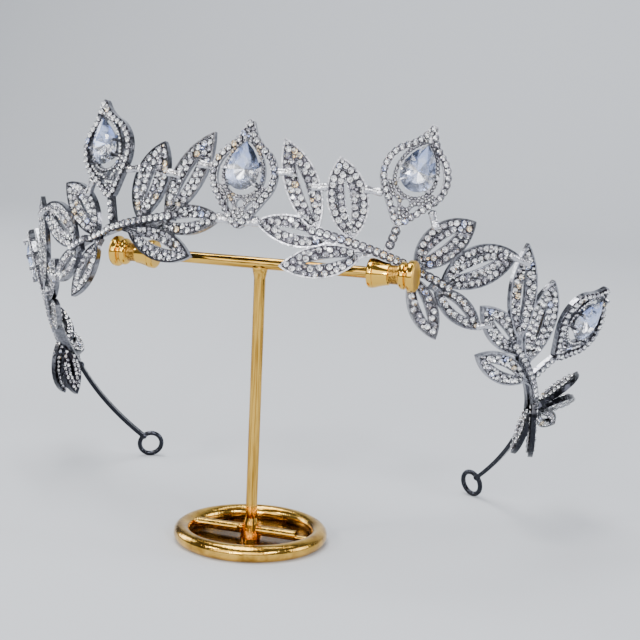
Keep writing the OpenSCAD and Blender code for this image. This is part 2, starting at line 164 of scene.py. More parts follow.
def ends(first: str, second: str) -> Sockets:
    """Values of the two ends of a colour Mix."""
    return {6: linear(first), 7: linear(second)}


def raised(strength: float, depth_mm: float) -> Sockets:
    """Values of a Bump."""
    return {"Strength": strength, "Distance": depth_mm * MM}


@dataclass(frozen=True)
class RhodiumPlatedZinc:
    """Cast zinc, tumbled bright and plated: mirror-like rims with a faint cast unevenness.

    The bright plating colour is kept to faces turned out from a point in the tiara's middle. The
    backs, the rear sprays and the plain wire behind are painted gun-metal dark as painted shade,
    with the pits of the dimples on the backs painted darker than their ridges.
    """

    name: str = "rhodium_plated_zinc"
    bright: str = "#b6b7be"
    dull: str = "#62636b"
    dark: str = "#26272d"
    ridge: str = "#4c4e56"
    ripple_mm: float = 0.9
    ripple_share: float = 0.12
    wear: Point2 = (0.3, 0.62)
    dimple_mm: float = 1.7
    dimple: Point2 = (0.1, 0.42)
    middle: Point3 = (-5.0, 85.0, 60.0)
    front: Point2 = (-0.6, 0.25)
    back: Point2 = (-0.35, -0.65)
    tail: Point2 = (-8.0, 2.0)
    rear_shade_share: float = 0.97
    roughness: Point2 = (0.09, 0.24)
    relief: Point2 = (0.8, 0.35)

    def build(self) -> Material:
        """Build the material: a cast skin in front, and behind it a dimple under each stone.

        Returns:
            The material.
        """
        material, tree, shader, at = blank_material(self.name, {"Metallic": 1.0})
        cast = {**pattern(self.ripple_mm, 3.0), "Roughness": 0.6}
        ripple = add_node(tree, "TexNoise", at, cast)
        spread = add_node(tree, "MapRange", {"Value": ripple}, span("From", *self.wear))
        worn = add_node(tree, "Mix", {0: spread}, ends(self.dull, self.bright), data_type="RGBA")
        # Faces turned away from a point in the tiara's middle are painted dark, painted shade on the
        # backs and side walls
        middle = [c * MM for c in self.middle]
        arm = add_node(tree, "VectorMath", at, {1: middle}, operation="SUBTRACT")
        outward = add_node(tree, "VectorMath", {0: arm}, operation="NORMALIZE")
        both = {0: outward, 1: add_node(tree, "TexCoord").outputs["Normal"]}
        facing = add_node(tree, "VectorMath", both, operation="DOT_PRODUCT").outputs["Value"]
        front = add_node(tree, "MapRange", {"Value": facing}, span("From", *self.front))
        behind = add_node(tree, "MapRange", {"Value": facing}, span("From", *self.back))
        # The dimple pits of the backs are painted darker than their ridges, painted shade in the
        # hollows
        dimples = add_node(tree, "TexVoronoi", at, pattern(self.dimple_mm))
        sunk = span("From", *self.dimple)
        pits = add_node(tree, "MapRange", {"Value": dimples}, sunk, interpolation_type="SMOOTHSTEP")
        # The rear sprays hang low behind the rest, so depth less height tells them apart; they are
        # painted dark there, painted shade
        axes = add_node(tree, "SeparateXYZ", at).outputs
        depth = add_node(tree, "Math", {0: axes[1], 1: axes[2]}, operation="SUBTRACT")
        tail = {**span("From", *self.tail, MM), "To Max": self.rear_shade_share}
        rear = add_node(tree, "MapRange", {"Value": depth}, tail)
        painted_shade_share = add_node(tree, "Math", {0: behind, 1: rear}, operation="MAXIMUM")
        back_relief = add_node(tree, "Math", {0: pits, 1: painted_shade_share}, operation="MULTIPLY")
        back_ridges = add_node(tree, "Math", {0: pits, 1: behind}, operation="MULTIPLY")
        parts = {0: ripple, 2: back_relief}
        height = add_node(tree, "Math", parts, {1: self.ripple_share}, operation="MULTIPLY_ADD")
        ahead = add_node(tree, "Math", {1: rear}, {0: 1.0}, operation="SUBTRACT")
        unshaded_share = add_node(tree, "Math", {0: front, 1: ahead}, operation="MULTIPLY")
        # The painted shade is gun-metal dark, a little lighter on the dimple ridges of the backs
        shade_tones = ends(self.dark, self.ridge)
        painted_shade_tone = add_node(tree, "Mix", {0: back_ridges}, shade_tones, data_type="RGBA")
        skins = {0: unshaded_share, 6: painted_shade_tone.outputs[2], 7: worn.outputs[2]}
        tint = add_node(tree, "Mix", skins, data_type="RGBA")
        rough = add_node(tree, "MapRange", {"Value": ripple}, span("To", *self.roughness))
        relief = add_node(tree, "Bump", {"Height": height}, raised(*self.relief))
        join(tree, shader, {"Base Color": tint.outputs[2], "Roughness": rough, "Normal": relief})
        return material


@dataclass(frozen=True)
class PaintedRecessShade:
    """Painted shade in the hollows under the stones: the same metal painted near black, and satin.
    """

    name: str = "painted_recess_shade"
    colour: str = "#141317"
    light: str = "#45424a"
    grain_mm: float = 0.35
    roughness: float = 0.38
    relief: Point2 = (0.4, 0.08)

    def build(self) -> Material:
        """Build the material; its grain is the cast skin.

        Returns:
            The material.
        """
        uniform = {"Metallic": 1.0, "Roughness": self.roughness}
        material, tree, shader, at = blank_material(self.name, uniform)
        grain = add_node(tree, "TexNoise", at, pattern(self.grain_mm, 2.0))
        tint = add_node(tree, "Mix", {0: grain}, ends(self.colour, self.light), data_type="RGBA")
        relief = add_node(tree, "Bump", {"Height": grain}, raised(*self.relief))
        join(tree, shader, {"Base Color": tint.outputs[2], "Normal": relief})
        return material


@dataclass(frozen=True)
class TinSolder:
    """Soft solder, flowed and wiped: bright, a little lumpy and softer than the plating."""

    name: str = "tin_solder"
    colour: str = "#cbcbd0"
    lump_mm: float = 0.8
    roughness: Point2 = (0.14, 0.36)
    relief: Point2 = (0.8, 0.25)

    def build(self) -> Material:
        """Build the material; its lumps are what the wiping leaves.

        Returns:
            The material.
        """
        uniform = {"Base Color": linear(self.colour), "Metallic": 1.0}
        material, tree, shader, at = blank_material(self.name, uniform)
        lumps = add_node(tree, "TexNoise", at, pattern(self.lump_mm, 1.0))
        rough = add_node(tree, "MapRange", {"Value": lumps}, span("To", *self.roughness))
        relief = add_node(tree, "Bump", {"Height": lumps}, raised(*self.relief))
        join(tree, shader, {"Roughness": rough, "Normal": relief})
        return material


@dataclass(frozen=True)
class CutCrystal:
    """Machine-cut lead crystal: clear, sharp facets that flash against dark ones."""

    name: str = "cut_crystal"
    colour: str = "#ffffff"
    ior: float = 1.56
    haze: float = 0.02
    haze_mm: float = 0.8
    wear: Point2 = (0.45, 0.7)

    def build(self) -> Material:
        """Build the material; the haze of the last polish is drawn coarser than real.

        Returns:
            The material.
        """
        glass = {"Base Color": linear(self.colour), "IOR": self.ior, "Transmission Weight": 1.0}
        material, tree, shader, at = blank_material(self.name, glass)
        wipe = add_node(tree, "TexNoise", at, pattern(self.haze_mm, 2.0))
        hazed = {**span("From", *self.wear), "To Max": self.haze}
        join(tree, shader, {"Roughness": add_node(tree, "MapRange", {"Value": wipe}, hazed)})
        return material


@dataclass(frozen=True)
class SilverFoil:
    """Vacuum-coated foil on a stone's back: a mirror that throws the light out again."""

    name: str
    colour: str
    thin: str
    roughness: float
    crinkle_mm: float = 1.1
    coat: Point2 = (0.35, 0.65)
    relief: Point2 = (0.4, 0.06)

    def build(self) -> Material:
        """Build the material: a coat of uneven thickness on a faintly crinkled ground.

        Returns:
            The material.
        """
        material, tree, shader, at = blank_material(self.name, {"Metallic": 1.0})
        crinkle = add_node(tree, "TexNoise", at, pattern(self.crinkle_mm, 3.0))
        spread = add_node(tree, "MapRange", {"Value": crinkle}, span("From", *self.coat))
        tint = add_node(tree, "Mix", {0: spread}, ends(self.thin, self.colour), data_type="RGBA")
        rough = add_node(tree, "MapRange", {"Value": crinkle}, span("To", 0.6, 1.4, self.roughness))
        relief = add_node(tree, "Bump", {"Height": crinkle}, raised(*self.relief))
        join(tree, shader, {"Base Color": tint.outputs[2], "Roughness": rough, "Normal": relief})
        return material


@dataclass(frozen=True)
class SortedFoil:
    """The foil of stones from a mixed lot: most bright, some dulled, a few tinted warm or blue.

    The warm and blue tints are painted glints, the crystal's coloured fire painted into the foil.
    After the blue ones, each sort is given as the share of the lot where it starts and its colour.
    """

    name: str = "sorted_foil"
    blue_glint: str = "#d6e0ff"
    others: tuple[tuple[float, str], ...] = ((0.03, "#ffedcd"), (0.06, "#bdbcc4"), (0.3, "#fafafc"))
    stone_mm: float = 2.1
    roughness: float = 0.1

    def build(self) -> Material:
        """Build the material; each cell of its pattern is about one stone.

        Returns:
            The material.
        """
        uniform = {"Metallic": 1.0, "Roughness": self.roughness}
        material, tree, shader, at = blank_material(self.name, uniform)
        cells = add_node(tree, "TexVoronoi", at, pattern(self.stone_mm))
        lot = add_node(tree, "SeparateColor", {0: cells.outputs["Color"]})
        ramp = add_node(tree, "ValToRGB", {0: lot})
        ramp.color_ramp.interpolation = "CONSTANT"
        stops = ramp.color_ramp.elements
        stops.remove(stops[1])
        # The first sorts, blue and warm, are painted glints of the crystal's coloured fire
        stops[0].color = linear(self.blue_glint)
        for place, colour in self.others:
            stops.new(place).color = linear(colour)
        join(tree, shader, {"Base Color": ramp})
        return material


@dataclass(frozen=True)
class TurnedGold:
    """Gold-plated brass, lathe-turned: bright bands round the axis, with a dark speckled waist."""

    name: str = "turned_gold"
    bright: str = "#e9b950"
    waist: str = "#70501d"
    waist_worn: str = "#c39442"
    speckle_mm: float = 0.45
    turning_mm: float = 0.48
    waist_middle: float = 42.3
    waist_half: float = 1.3
    face_from: float = 48.45
    wear: Point2 = (0.42, 0.6)
    roughness: Point2 = (0.12, 0.42)
    relief: Point2 = (0.35, 0.03)

    def build(self) -> Material:
        """Build the material; the turning marks are drawn coarser than real so that they show.

        Returns:
            The material.
        """
        material, tree, shader, at = blank_material(self.name, {"Metallic": 1.0})
        axes = add_node(tree, "SeparateXYZ", at).outputs
        along = add_node(tree, "Math", {0: axes[0]}, operation="ABSOLUTE")
        off = add_node(tree, "Math", {0: along}, {1: self.waist_middle * MM}, operation="SUBTRACT")
        far = add_node(tree, "Math", {0: off}, operation="ABSOLUTE")
        on_waist = add_node(tree, "Math", {0: far}, {1: self.waist_half * MM}, operation="LESS_THAN")
        turned = pattern(self.turning_mm, 2.0)
        marks = add_node(tree, "TexNoise", {"W": axes[0]}, turned, noise_dimensions="1D")
        speckle = add_node(tree, "TexNoise", at, pattern(self.speckle_mm, 2.0))
        worn = add_node(tree, "MapRange", {"Value": speckle}, span("From", *self.wear))
        dark = ends(self.waist, self.waist_worn)
        waist = add_node(tree, "Mix", {0: worn}, dark, data_type="RGBA").outputs[2]
        bright = {6: linear(self.bright)}
        tint = add_node(tree, "Mix", {0: on_waist, 7: waist}, bright, data_type="RGBA").outputs[2]
        height = add_node(tree, "Math", {0: worn, 1: on_waist, 2: marks}, operation="MULTIPLY_ADD")
        face = {1: self.face_from * MM}
        on_face = add_node(tree, "Math", {0: along}, face, operation="GREATER_THAN")
        satin = add_node(tree, "Math", {0: on_waist, 1: on_face}, operation="MAXIMUM")
        rough = add_node(tree, "MapRange", {"Value": satin}, span("To", *self.roughness))
        relief = add_node(tree, "Bump", {"Height": height}, raised(*self.relief))
        join(tree, shader, {"Base Color": tint, "Roughness": rough, "Normal": relief})
        return material


@dataclass(frozen=True)
class BrazedGold:
    """Gold-plated steel rod, drawn and brazed: cloudy ring, streaked bar and post, dark plate.

    The bright and dull streaks of colour on the bar and post are painted reflection along the
    drawing marks, and the plate's dark bronze is a painted reflection of a dark room above it.
    """

    name: str = "brazed_gold"
    bright: str = "#e5b756"
    dull: str = "#a2772c"
    plate: str = "#5e4423"
    braze: str = "#cb8c30"
    streak_mm: float = 6.0
    draw_mm: float = 0.55
    draw_stretch: float = 0.04
    shine: Point2 = (0.32, 0.6)
    post_from: float = 8.5
    bar_from: float = 84.0
    plate_top: float = 1.05
    plate_r: float = 19.6
    braze_r: Point2 = (3.9, 3.2)
    braze_z: Point2 = (7.5, 4.6)
    roughness: Point2 = (0.07, 0.2)
    relief: Point2 = (0.5, 0.15)

    def build(self) -> Material:
        """Build the material; its parts are told apart by their height and distance from the post.

        Returns:
            The material.
        """
        material, tree, shader, at = blank_material(self.name, {"Metallic": 1.0})
        x, y, z = add_node(tree, "SeparateXYZ", at).outputs
        clouds = {**pattern(self.streak_mm, 4.0), "Roughness": 0.65}
        streaks = add_node(tree, "TexNoise", at, clouds)
        # Drawing marks run along the bar and up the post; drawn coarser than real so that they show.
        # Their bright and dull bands of colour are painted reflection, streaks of light along the
        # rod
        on_bar = add_node(tree, "Math", {0: z}, {1: self.bar_from * MM}, operation="GREATER_THAN")
        along_bar = add_node(tree, "Mapping", at, {"Scale": (self.draw_stretch, 1.0, 1.0)})
        up_post = add_node(tree, "Mapping", at, {"Scale": (1.0, 1.0, self.draw_stretch)})
        drawn = add_node(tree, "Mix", {0: on_bar, 4: up_post, 5: along_bar}, data_type="VECTOR")
        marks = add_node(tree, "TexNoise", {"Vector": drawn.outputs[1]}, pattern(self.draw_mm, 2.0))
        above = add_node(tree, "Math", {0: z}, {1: self.post_from * MM}, operation="GREATER_THAN")
        coat = add_node(tree, "Mix", {0: above, 2: streaks, 3: marks})
        shine = add_node(tree, "MapRange", {"Value": coat}, span("From", *self.shine))
        tint = add_node(tree, "Mix", {0: shine}, ends(self.dull, self.bright), data_type="RGBA")
        low = add_node(tree, "Math", {0: z}, {1: self.plate_top * MM}, operation="LESS_THAN")
        flat = add_node(tree, "CombineXYZ", {0: x, 1: y})
        reach = add_node(tree, "VectorMath", {0: flat}, operation="LENGTH").outputs["Value"]
        inside = add_node(tree, "Math", {0: reach}, {1: self.plate_r * MM}, operation="LESS_THAN")
        on_plate = add_node(tree, "Math", {0: low, 1: inside}, operation="MULTIPLY")
        near = add_node(tree, "MapRange", {"Value": reach}, span("From", *self.braze_r, MM))
        foot = add_node(tree, "MapRange", {"Value": z}, span("From", *self.braze_z, MM))
        brazed = add_node(tree, "Math", {0: near, 1: foot}, operation="MULTIPLY")
        # The plate inside the ring is painted dark bronze, a painted reflection of a dark room above
        # it
        for share, colour in ((on_plate, self.plate), (brazed, self.braze)):
            under = {0: share, 6: tint.outputs[2]}
            tint = add_node(tree, "Mix", under, {7: linear(colour)}, data_type="RGBA")
        rough = add_node(tree, "MapRange", {"Value": coat}, span("To", *self.roughness))
        relief = add_node(tree, "Bump", {"Height": marks}, raised(*self.relief))
        join(tree, shader, {"Base Color": tint.outputs[2], "Roughness": rough, "Normal": relief})
        return material


@dataclass(frozen=True)
class StudioPaper:
    """Matte background paper: pale and even, with a barely visible tooth."""

    name: str = "studio_paper"
    colour: str = "#c8ccd2"
    tooth_mm: float = 0.8
    roughness: float = 0.9
    relief: Point2 = (0.1, 0.05)

    def build(self) -> Material:
        """Build the material.

        Returns:
            The material.
        """
        uniform = {"Base Color": linear(self.colour), "Roughness": self.roughness}
        material, tree, shader, at = blank_material(self.name, uniform)
        fibres = add_node(tree, "TexNoise", at, pattern(self.tooth_mm, 2.0))
        relief = add_node(tree, "Bump", {"Height": fibres}, raised(*self.relief))
        join(tree, shader, {"Normal": relief})
        return material


@dataclass
class Solid:
    """A small closed or open form that is copied many times."""

    points: list[Point3]
    faces: list[Face]
    slots: list[int]
    smooth: bool = False


class MeshBatch:
    """Collects seated copies of small forms and turns them into one mesh object."""

    def __init__(self) -> None:
        """Start empty."""
        self.points: list[np.ndarray] = []
        self.faces: list[Face] = []
        self.slots: list[int] = []
        self.smooth: list[bool] = []
        self.count = 0

    def add(self, solid: Solid, seat: Matrix) -> None:
        """Add one copy of a form.

        Args:
            solid: The form.
            seat: The matrix that sets it in place, in millimetres.
        """
        place = np.array(seat)
        moved = np.array(solid.points) @ place[:3, :3].T + place[:3, 3]
        flip = np.linalg.det(place[:3, :3]) < 0
        for face, slot in zip(solid.faces, solid.slots):
            ordered = face[::-1] if flip else face
            self.faces.append(tuple(i + self.count for i in ordered))
            self.slots.append(slot)
            self.smooth.append(solid.smooth)
        self.points.append(moved)
        self.count += len(solid.points)

    def build(self, name: str, finishes: Finishes, slot: str) -> bpy.types.Object:
        """Make the mesh object and let it ride on the part.

        Args:
            name: The piece's name.
            finishes: Its materials, in the order of the forms' slots.
            slot: Name of a material slot; not used.

        Returns:
            The new object.
        """
        mesh = bpy.data.meshes.new(name)
        points = np.vstack(self.points) * MM
        mesh.from_pydata(points.tolist(), [], self.faces)
        mesh.polygons.foreach_set("material_index", self.slots)
        mesh.polygons.foreach_set("use_smooth", self.smooth)
        for finish in finishes:
            mesh.materials.append(finish)
        mesh.update()
        piece = bpy.data.objects.new(name, mesh)
        bpy.context.scene.collection.objects.link(piece)
        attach(piece, "root")
        LOG.info("%s: %d faces", name, len(self.faces))
        return piece


def shift(x: float, y: float, z: float = 0.0) -> Matrix:
    """Matrix that moves by so much."""
    return Matrix.Translation((x, y, z))


def axes_matrix(x: Vector, y: Vector, z: Vector, origin: Vector) -> Matrix:
    """Matrix from axes and an origin.

    Args:
        x: The first axis.
        y: The second axis.
        z: The third axis.
        origin: The origin.

    Returns:
        The matrix.
    """
    matrix = Matrix((x, y, z)).transposed().to_4x4()
    matrix.translation = origin
    return matrix


def ring(radius: float, height: float, sides: int, turn: float = 0.0) -> list[Point3]:
    """Points of a level ring.

    Args:
        radius: Its radius.
        height: Its height.
        sides: How many points it has.
        turn: The angle of its first point, in radians.

    Returns:
        The points, anticlockwise seen from above.
    """
    turns = [turn + i * 2 * math.pi / sides for i in range(sides)]
    return [(radius * math.cos(a), radius * math.sin(a), height) for a in turns]


def skin(rows: int, count: int, closed: bool = True) -> list[Face]:
    """Faces between rows of points, one row above another.

    Args:
        rows: How many rows there are.
        count: Points in each row.
        closed: Whether each row closes to a ring.

    Returns:
        The faces, row by row.
    """
    starts = range(0, (rows - 1) * count, count)
    pairs = [(i, (i + 1) % count) for i in range(count if closed else count - 1)]
    return [(n + i, n + j, n + count + j, n + count + i) for n in starts for i, j in pairs]


def plain(points: list[Point3], faces: list[Face], slot: int = 0, smooth: bool = True) -> Solid:
    """Form with one finish all over."""
    return Solid(points, faces, [slot] * len(faces), smooth)


def round_stone(radius: float, base: float, girdle: float, table: float) -> Solid:
    """Round rhinestone: table, sixteen crown facets, thin girdle and a foiled cone below.

    Args:
        radius: Radius of the girdle.
        base: Height of the point.
        girdle: Height of the girdle.
        table: Height of the table.

    Returns:
        The stone, with crystal in slot 0 and foil in slot 1.
    """
    sides = 8
    points = ring(radius * 0.56, table, sides, math.pi / sides)
    points += ring(radius, girdle + 0.08, sides) + ring(radius, girdle, sides) + [(0.0, 0.0, base)]
    faces: list[Face] = [tuple(range(sides))]
    slots = [0]
    for i in range(sides):
        j = (i + 1) % sides
        faces += [(i, sides + i, sides + j), (i, sides + j, j)]
        faces += [(sides + i, 2 * sides + i, 2 * sides + j, sides + j)]
        faces += [(3 * sides, 2 * sides + j, 2 * sides + i)]
        slots += [0, 0, 0, 1]
    return Solid(points, faces, slots)


def metal_grain(radius: float, base: float, top: float) -> Solid:
    """Raised metal grain that holds the stones round it.

    Args:
        radius: Its radius.
        base: Height of its foot.
        top: Height of its crown.

    Returns:
        The grain.
    """
    sides = 6
    points = ring(radius, base, sides)
    for size, share in ((0.92, 0.6), (0.5, 0.93)):
        points += ring(radius * size, base + (top - base) * share, sides)
    cap = [(2 * sides + i, 2 * sides + (i + 1) % sides, 3 * sides) for i in range(sides)]
    return plain([*points, (0.0, 0.0, top)], skin(3, sides) + cap)


def stone_cup(outer: float, inner: float, base: float, top: float, slot: int = 0) -> Solid:
    """Round cup wall about a stone.

    Args:
        outer: Outer radius.
        inner: Inner radius at the top.
        base: Height of its foot.
        top: Height of its rim.
        slot: The slot of its finish.

    Returns:
        The cup.
    """
    middle = (outer + inner) / 2
    wall = ((outer, base), (outer, top - 0.08), (middle, top), (inner, top - 0.12), (inner, base))
    sides = 12
    points = [point for radius, height in wall for point in ring(radius, height, sides)]
    return plain(points, skin(len(wall), sides), slot)


def shade_tile(radius: float, height: float) -> Solid:
    """Small flat patch of painted shade under a stone, in slot 1."""
    return plain(ring(radius, height, 8, math.pi / 8), [tuple(range(8))], 1, smooth=False)


def bead_wire(path: Sequence[Point3], radius: float, closed: bool) -> Solid:
    """Fine wire along a path.

    Args:
        path: Its points.
        radius: The wire's radius.
        closed: Whether its ends meet.

    Returns:
        The wire.
    """
    sides = 6
    spots = [Vector(p) for p in path]
    count = len(spots)
    points: list[Point3] = []
    for i, spot in enumerate(spots):
        ahead = spots[(i + 1) % count] if closed or i + 1 < count else spot
        behind = spots[i - 1] if closed or i > 0 else spot
        along = (ahead - behind).normalized()
        side = along.cross(Vector((0.0, 0.0, 1.0))).normalized()
        up = side.cross(along)
        for k in range(sides):
            a = 2 * math.pi * k / sides
            points.append(tuple(spot + radius * (math.cos(a) * side + math.sin(a) * up)))
    if closed:
        total = len(points)
        return plain(points, [tuple(n % total for n in face) for face in skin(count + 1, sides)])
    caps = [tuple(range(sides))[::-1], tuple(range((count - 1) * sides, count * sides))]
    return plain(points, skin(count, sides) + caps)


def lifted(outline: np.ndarray, height: float) -> list[Point3]:
    """Points of a flat outline at a height."""
    return [(float(x), float(y), height) for x, y in outline]


def lengths_along(path: np.ndarray) -> np.ndarray:
    """Length along a path at each of its points."""
    return np.concatenate([[0], np.cumsum(np.linalg.norm(np.diff(path, axis=0), axis=1))])


def point_at(path: np.ndarray, runs: np.ndarray, at: float) -> Point2:
    """Point of a path at a length along it."""
    return float(np.interp(at, runs, path[:, 0])), float(np.interp(at, runs, path[:, 1]))


@dataclass(frozen=True)
class TiaraFace:
    """The flared face of the tiara, where a place is (along, up, out), all in millimetres.

    The arcs of a half of the band are given as length and radius of each.
    """

    right_arcs: tuple[Point2, ...] = ((69, 94.6), (69, 61.4), (50, 116.2))
    left_arcs: tuple[Point2, ...] = ((69, 93.5), (31, 52), (38, 100), (50, 80))
    flare: float = math.radians(33.2)
    lean: float = math.radians(47.1)
    roll: float = math.radians(1.4)
    turn: float = math.radians(1.3)
    rest_point: Point3 = (-4.55, -6.97, 99.88)

    def pose(self, half: Half) -> Matrix:
        """Matrix from the tiara's own frame to the stand's.

        Args:
            half: The half of the tiara.

        Returns:
            The matrix, which mirrors the left half.
        """
        matrix = (
            Matrix.Translation(self.rest_point)
            @ Matrix.Rotation(self.turn, 4, "Z")
            @ Matrix.Rotation(self.roll, 4, "Y")
            @ Matrix.Rotation(-self.lean, 4, "X")
        )
        mirror = Matrix.Diagonal((-1.0, 1.0, 1.0, 1.0))
        return matrix @ mirror if half is Half.LEFT else matrix

    def band(self, half: Half, along: float) -> tuple[Vector, Vector]:
        """Point of the band in its own plane, and the outward direction there.

        Args:
            half: The half of the tiara.
            along: Length along the band from its middle.

        Returns:
            The point and the direction.
        """
        arcs = self.right_arcs if half is Half.RIGHT else self.left_arcs
        centre = Vector((0.0, arcs[0][1]))
        heading = 0.0
        start = 0.0
        for i, (length, radius) in enumerate(arcs):
            last = along < start + length or i == len(arcs) - 1
            heading += (along - start if last else length) / radius
            start += length
            outside = Vector((math.sin(heading), -math.cos(heading)))
            if last:
                break
            centre = centre + (radius - arcs[i + 1][1]) * outside
        return centre + radius * outside, outside

    def spot(self, half: Half, place: Point3) -> Vector:
        """Point of the face in the tiara's own frame.

        Args:
            half: The half of the tiara.
            place: The place on the face.

        Returns:
            The point.
        """
        along, up, out = place
        point, outside = self.band(half, along)
        reach = up * math.sin(self.flare) + out * math.cos(self.flare)
        flat = point + reach * outside
        return Vector((flat.x, flat.y, up * math.cos(self.flare) - out * math.sin(self.flare)))

    def outward(self, half: Half, along: float) -> Vector:
        """Direction square to the face."""
        outside = self.band(half, along)[1] * math.cos(self.flare)
        return Vector((outside.x, outside.y, -math.sin(self.flare)))

    def length(self, half: Half, foot: Point3, tip: Point3) -> float:
        """Straight length between two places of the face."""
        return (self.spot(half, tip) - self.spot(half, foot)).length

    def seat(self, half: Half, foot: Point3, tip: Point3, twist: float = 0.0) -> Matrix:
        """Matrix that sets a flat piece on the face, Y from foot to tip and Z outward.

        Args:
            half: The half of the tiara.
            foot: Place of the piece's foot.
            tip: Place of its tip.
            twist: Angle about its own length, in degrees.

        Returns:
            The matrix, in millimetres, to the stand's frame.
        """
        start = self.spot(half, foot)
        up = (self.spot(half, tip) - start).normalized()
        raw = self.outward(half, foot[0]) + self.outward(half, tip[0])
        out = (raw - up * raw.dot(up)).normalized()
        flat = axes_matrix(up.cross(out), up, out, start)
        return self.pose(half) @ flat @ Matrix.Rotation(math.radians(twist), 4, "Y")


def edge_distance(points: np.ndarray, outline: np.ndarray) -> np.ndarray:
    """Distance of points from a closed outline, positive inside.

    Args:
        points: The points, one a row.
        outline: The outline's corners in order.

    Returns:
        One distance a point.
    """
    a = outline
    b = np.roll(outline, -1, axis=0)
    run = b - a
    rel = points[:, None, :] - a[None]
    share = np.clip((rel * run).sum(-1) / (run * run).sum(-1), 0, 1)
    gap = np.linalg.norm(rel - share[..., None] * run, axis=-1).min(1)
    above = (a[None, :, 1] > points[:, None, 1]) != (b[None, :, 1] > points[:, None, 1])
    rise = np.where(run[:, 1] == 0, 1e-9, run[:, 1])
    cross = a[None, :, 0] + (points[:, None, 1] - a[None, :, 1]) * run[None, :, 0] / rise[None]
    inside = (above & (points[:, None, 0] < cross)).sum(1) % 2 == 1
    return np.where(inside, gap, -gap)


@dataclass
class Paving:
    """Fills a metal field: big stones along its edge first, then small ones, then grains."""

    outline: np.ndarray
    holes: list[np.ndarray]
    rim: float = 0.5
    from_y: float = 0.0
    step: float = 0.16
    least_room: float = 0.1
    hole_gap: float = 0.12
    layer: float = 0.35
    taken: list[Point3] = field(default_factory=list)

    def __post_init__(self) -> None:
        """Lay out the candidate places."""
        low = self.outline.min(0)
        high = self.outline.max(0)
        xs = np.arange(low[0], high[0], self.step)
        ys = np.arange(max(low[1], self.from_y), high[1], self.step)
        grid = np.stack(np.meshgrid(xs, ys, indexing="ij"), -1).reshape(-1, 2)
        room = edge_distance(grid, self.outline) - self.rim
        keep = room > self.least_room
        self.grid = grid[keep]
        self.room = room[keep]
        for hole in self.holes:
            self.room = np.minimum(self.room, -edge_distance(self.grid, hole) - self.hole_gap)

    def fill(self, radius: float, gap: float) -> list[Point2]:
        """Place as many circles of one size as fit, hugging the edge.

        Args:
            radius: Their radius.
            gap: The least distance between two circles.

        Returns:
            Their middles.
        """
        fits = self.room >= radius
        spots = self.grid[fits]
        layer = np.round((self.room[fits] - radius) / self.layer)
        order = np.lexsort((spots[:, 1], layer))
        placed: list[Point2] = []
        for x, y in spots[order]:
            reach = radius + gap
            if all((x - u) ** 2 + (y - v) ** 2 >= (r + reach) ** 2 for u, v, r in self.taken):
                self.taken.append((x, y, radius))
                placed.append((float(x), float(y)))
        return placed


@dataclass(frozen=True)
class LeafPlan:
    """One leaf: foot, tip, bulge to the left and right, and its twist in degrees."""

    foot: Point3
    tip: Point3
    left: float
    right: float
    twist: float = 0.0


def lens(length: float, left: float, right: float, count: int = 20) -> np.ndarray:
    """Outline of a pointed leaf between two arcs.

    Args:
        length: Its length, from the origin along Y.
        left: Bulge to the left.
        right: Bulge to the right.
        count: Points on each side.

    Returns:
        The outline's corners in order.
    """
    sides = []
    for bulge, sign in ((right, 1), (left, -1)):
        radius = (length * length / 4 + bulge * bulge) / (2 * bulge)
        half = math.asin(min(1.0, length / 2 / radius))
        turns = np.linspace(-half, half, count)
        xs = sign * (bulge - radius + radius * np.cos(turns))
        ys = length / 2 + radius * np.sin(turns)
        sides.append(np.stack([xs, ys], -1))
    return np.vstack([sides[0], sides[1][::-1][1:-1]])


def bulge_at(y: np.ndarray, length: float, bulge: float, inset: float = 0.0) -> np.ndarray:
    """Distance of one side of a pointed leaf from its straight axis.

    Args:
        y: Heights above its foot.
        length: Its length.
        bulge: Greatest distance of that side.
        inset: How far inside the outline to measure.

    Returns:
        One distance a height.
    """
    radius = (length * length / 4 + bulge * bulge) / (2 * bulge)
    inner = np.maximum((radius - inset) ** 2 - (y - length / 2) ** 2, 0)
    return bulge - radius + np.sqrt(inner)


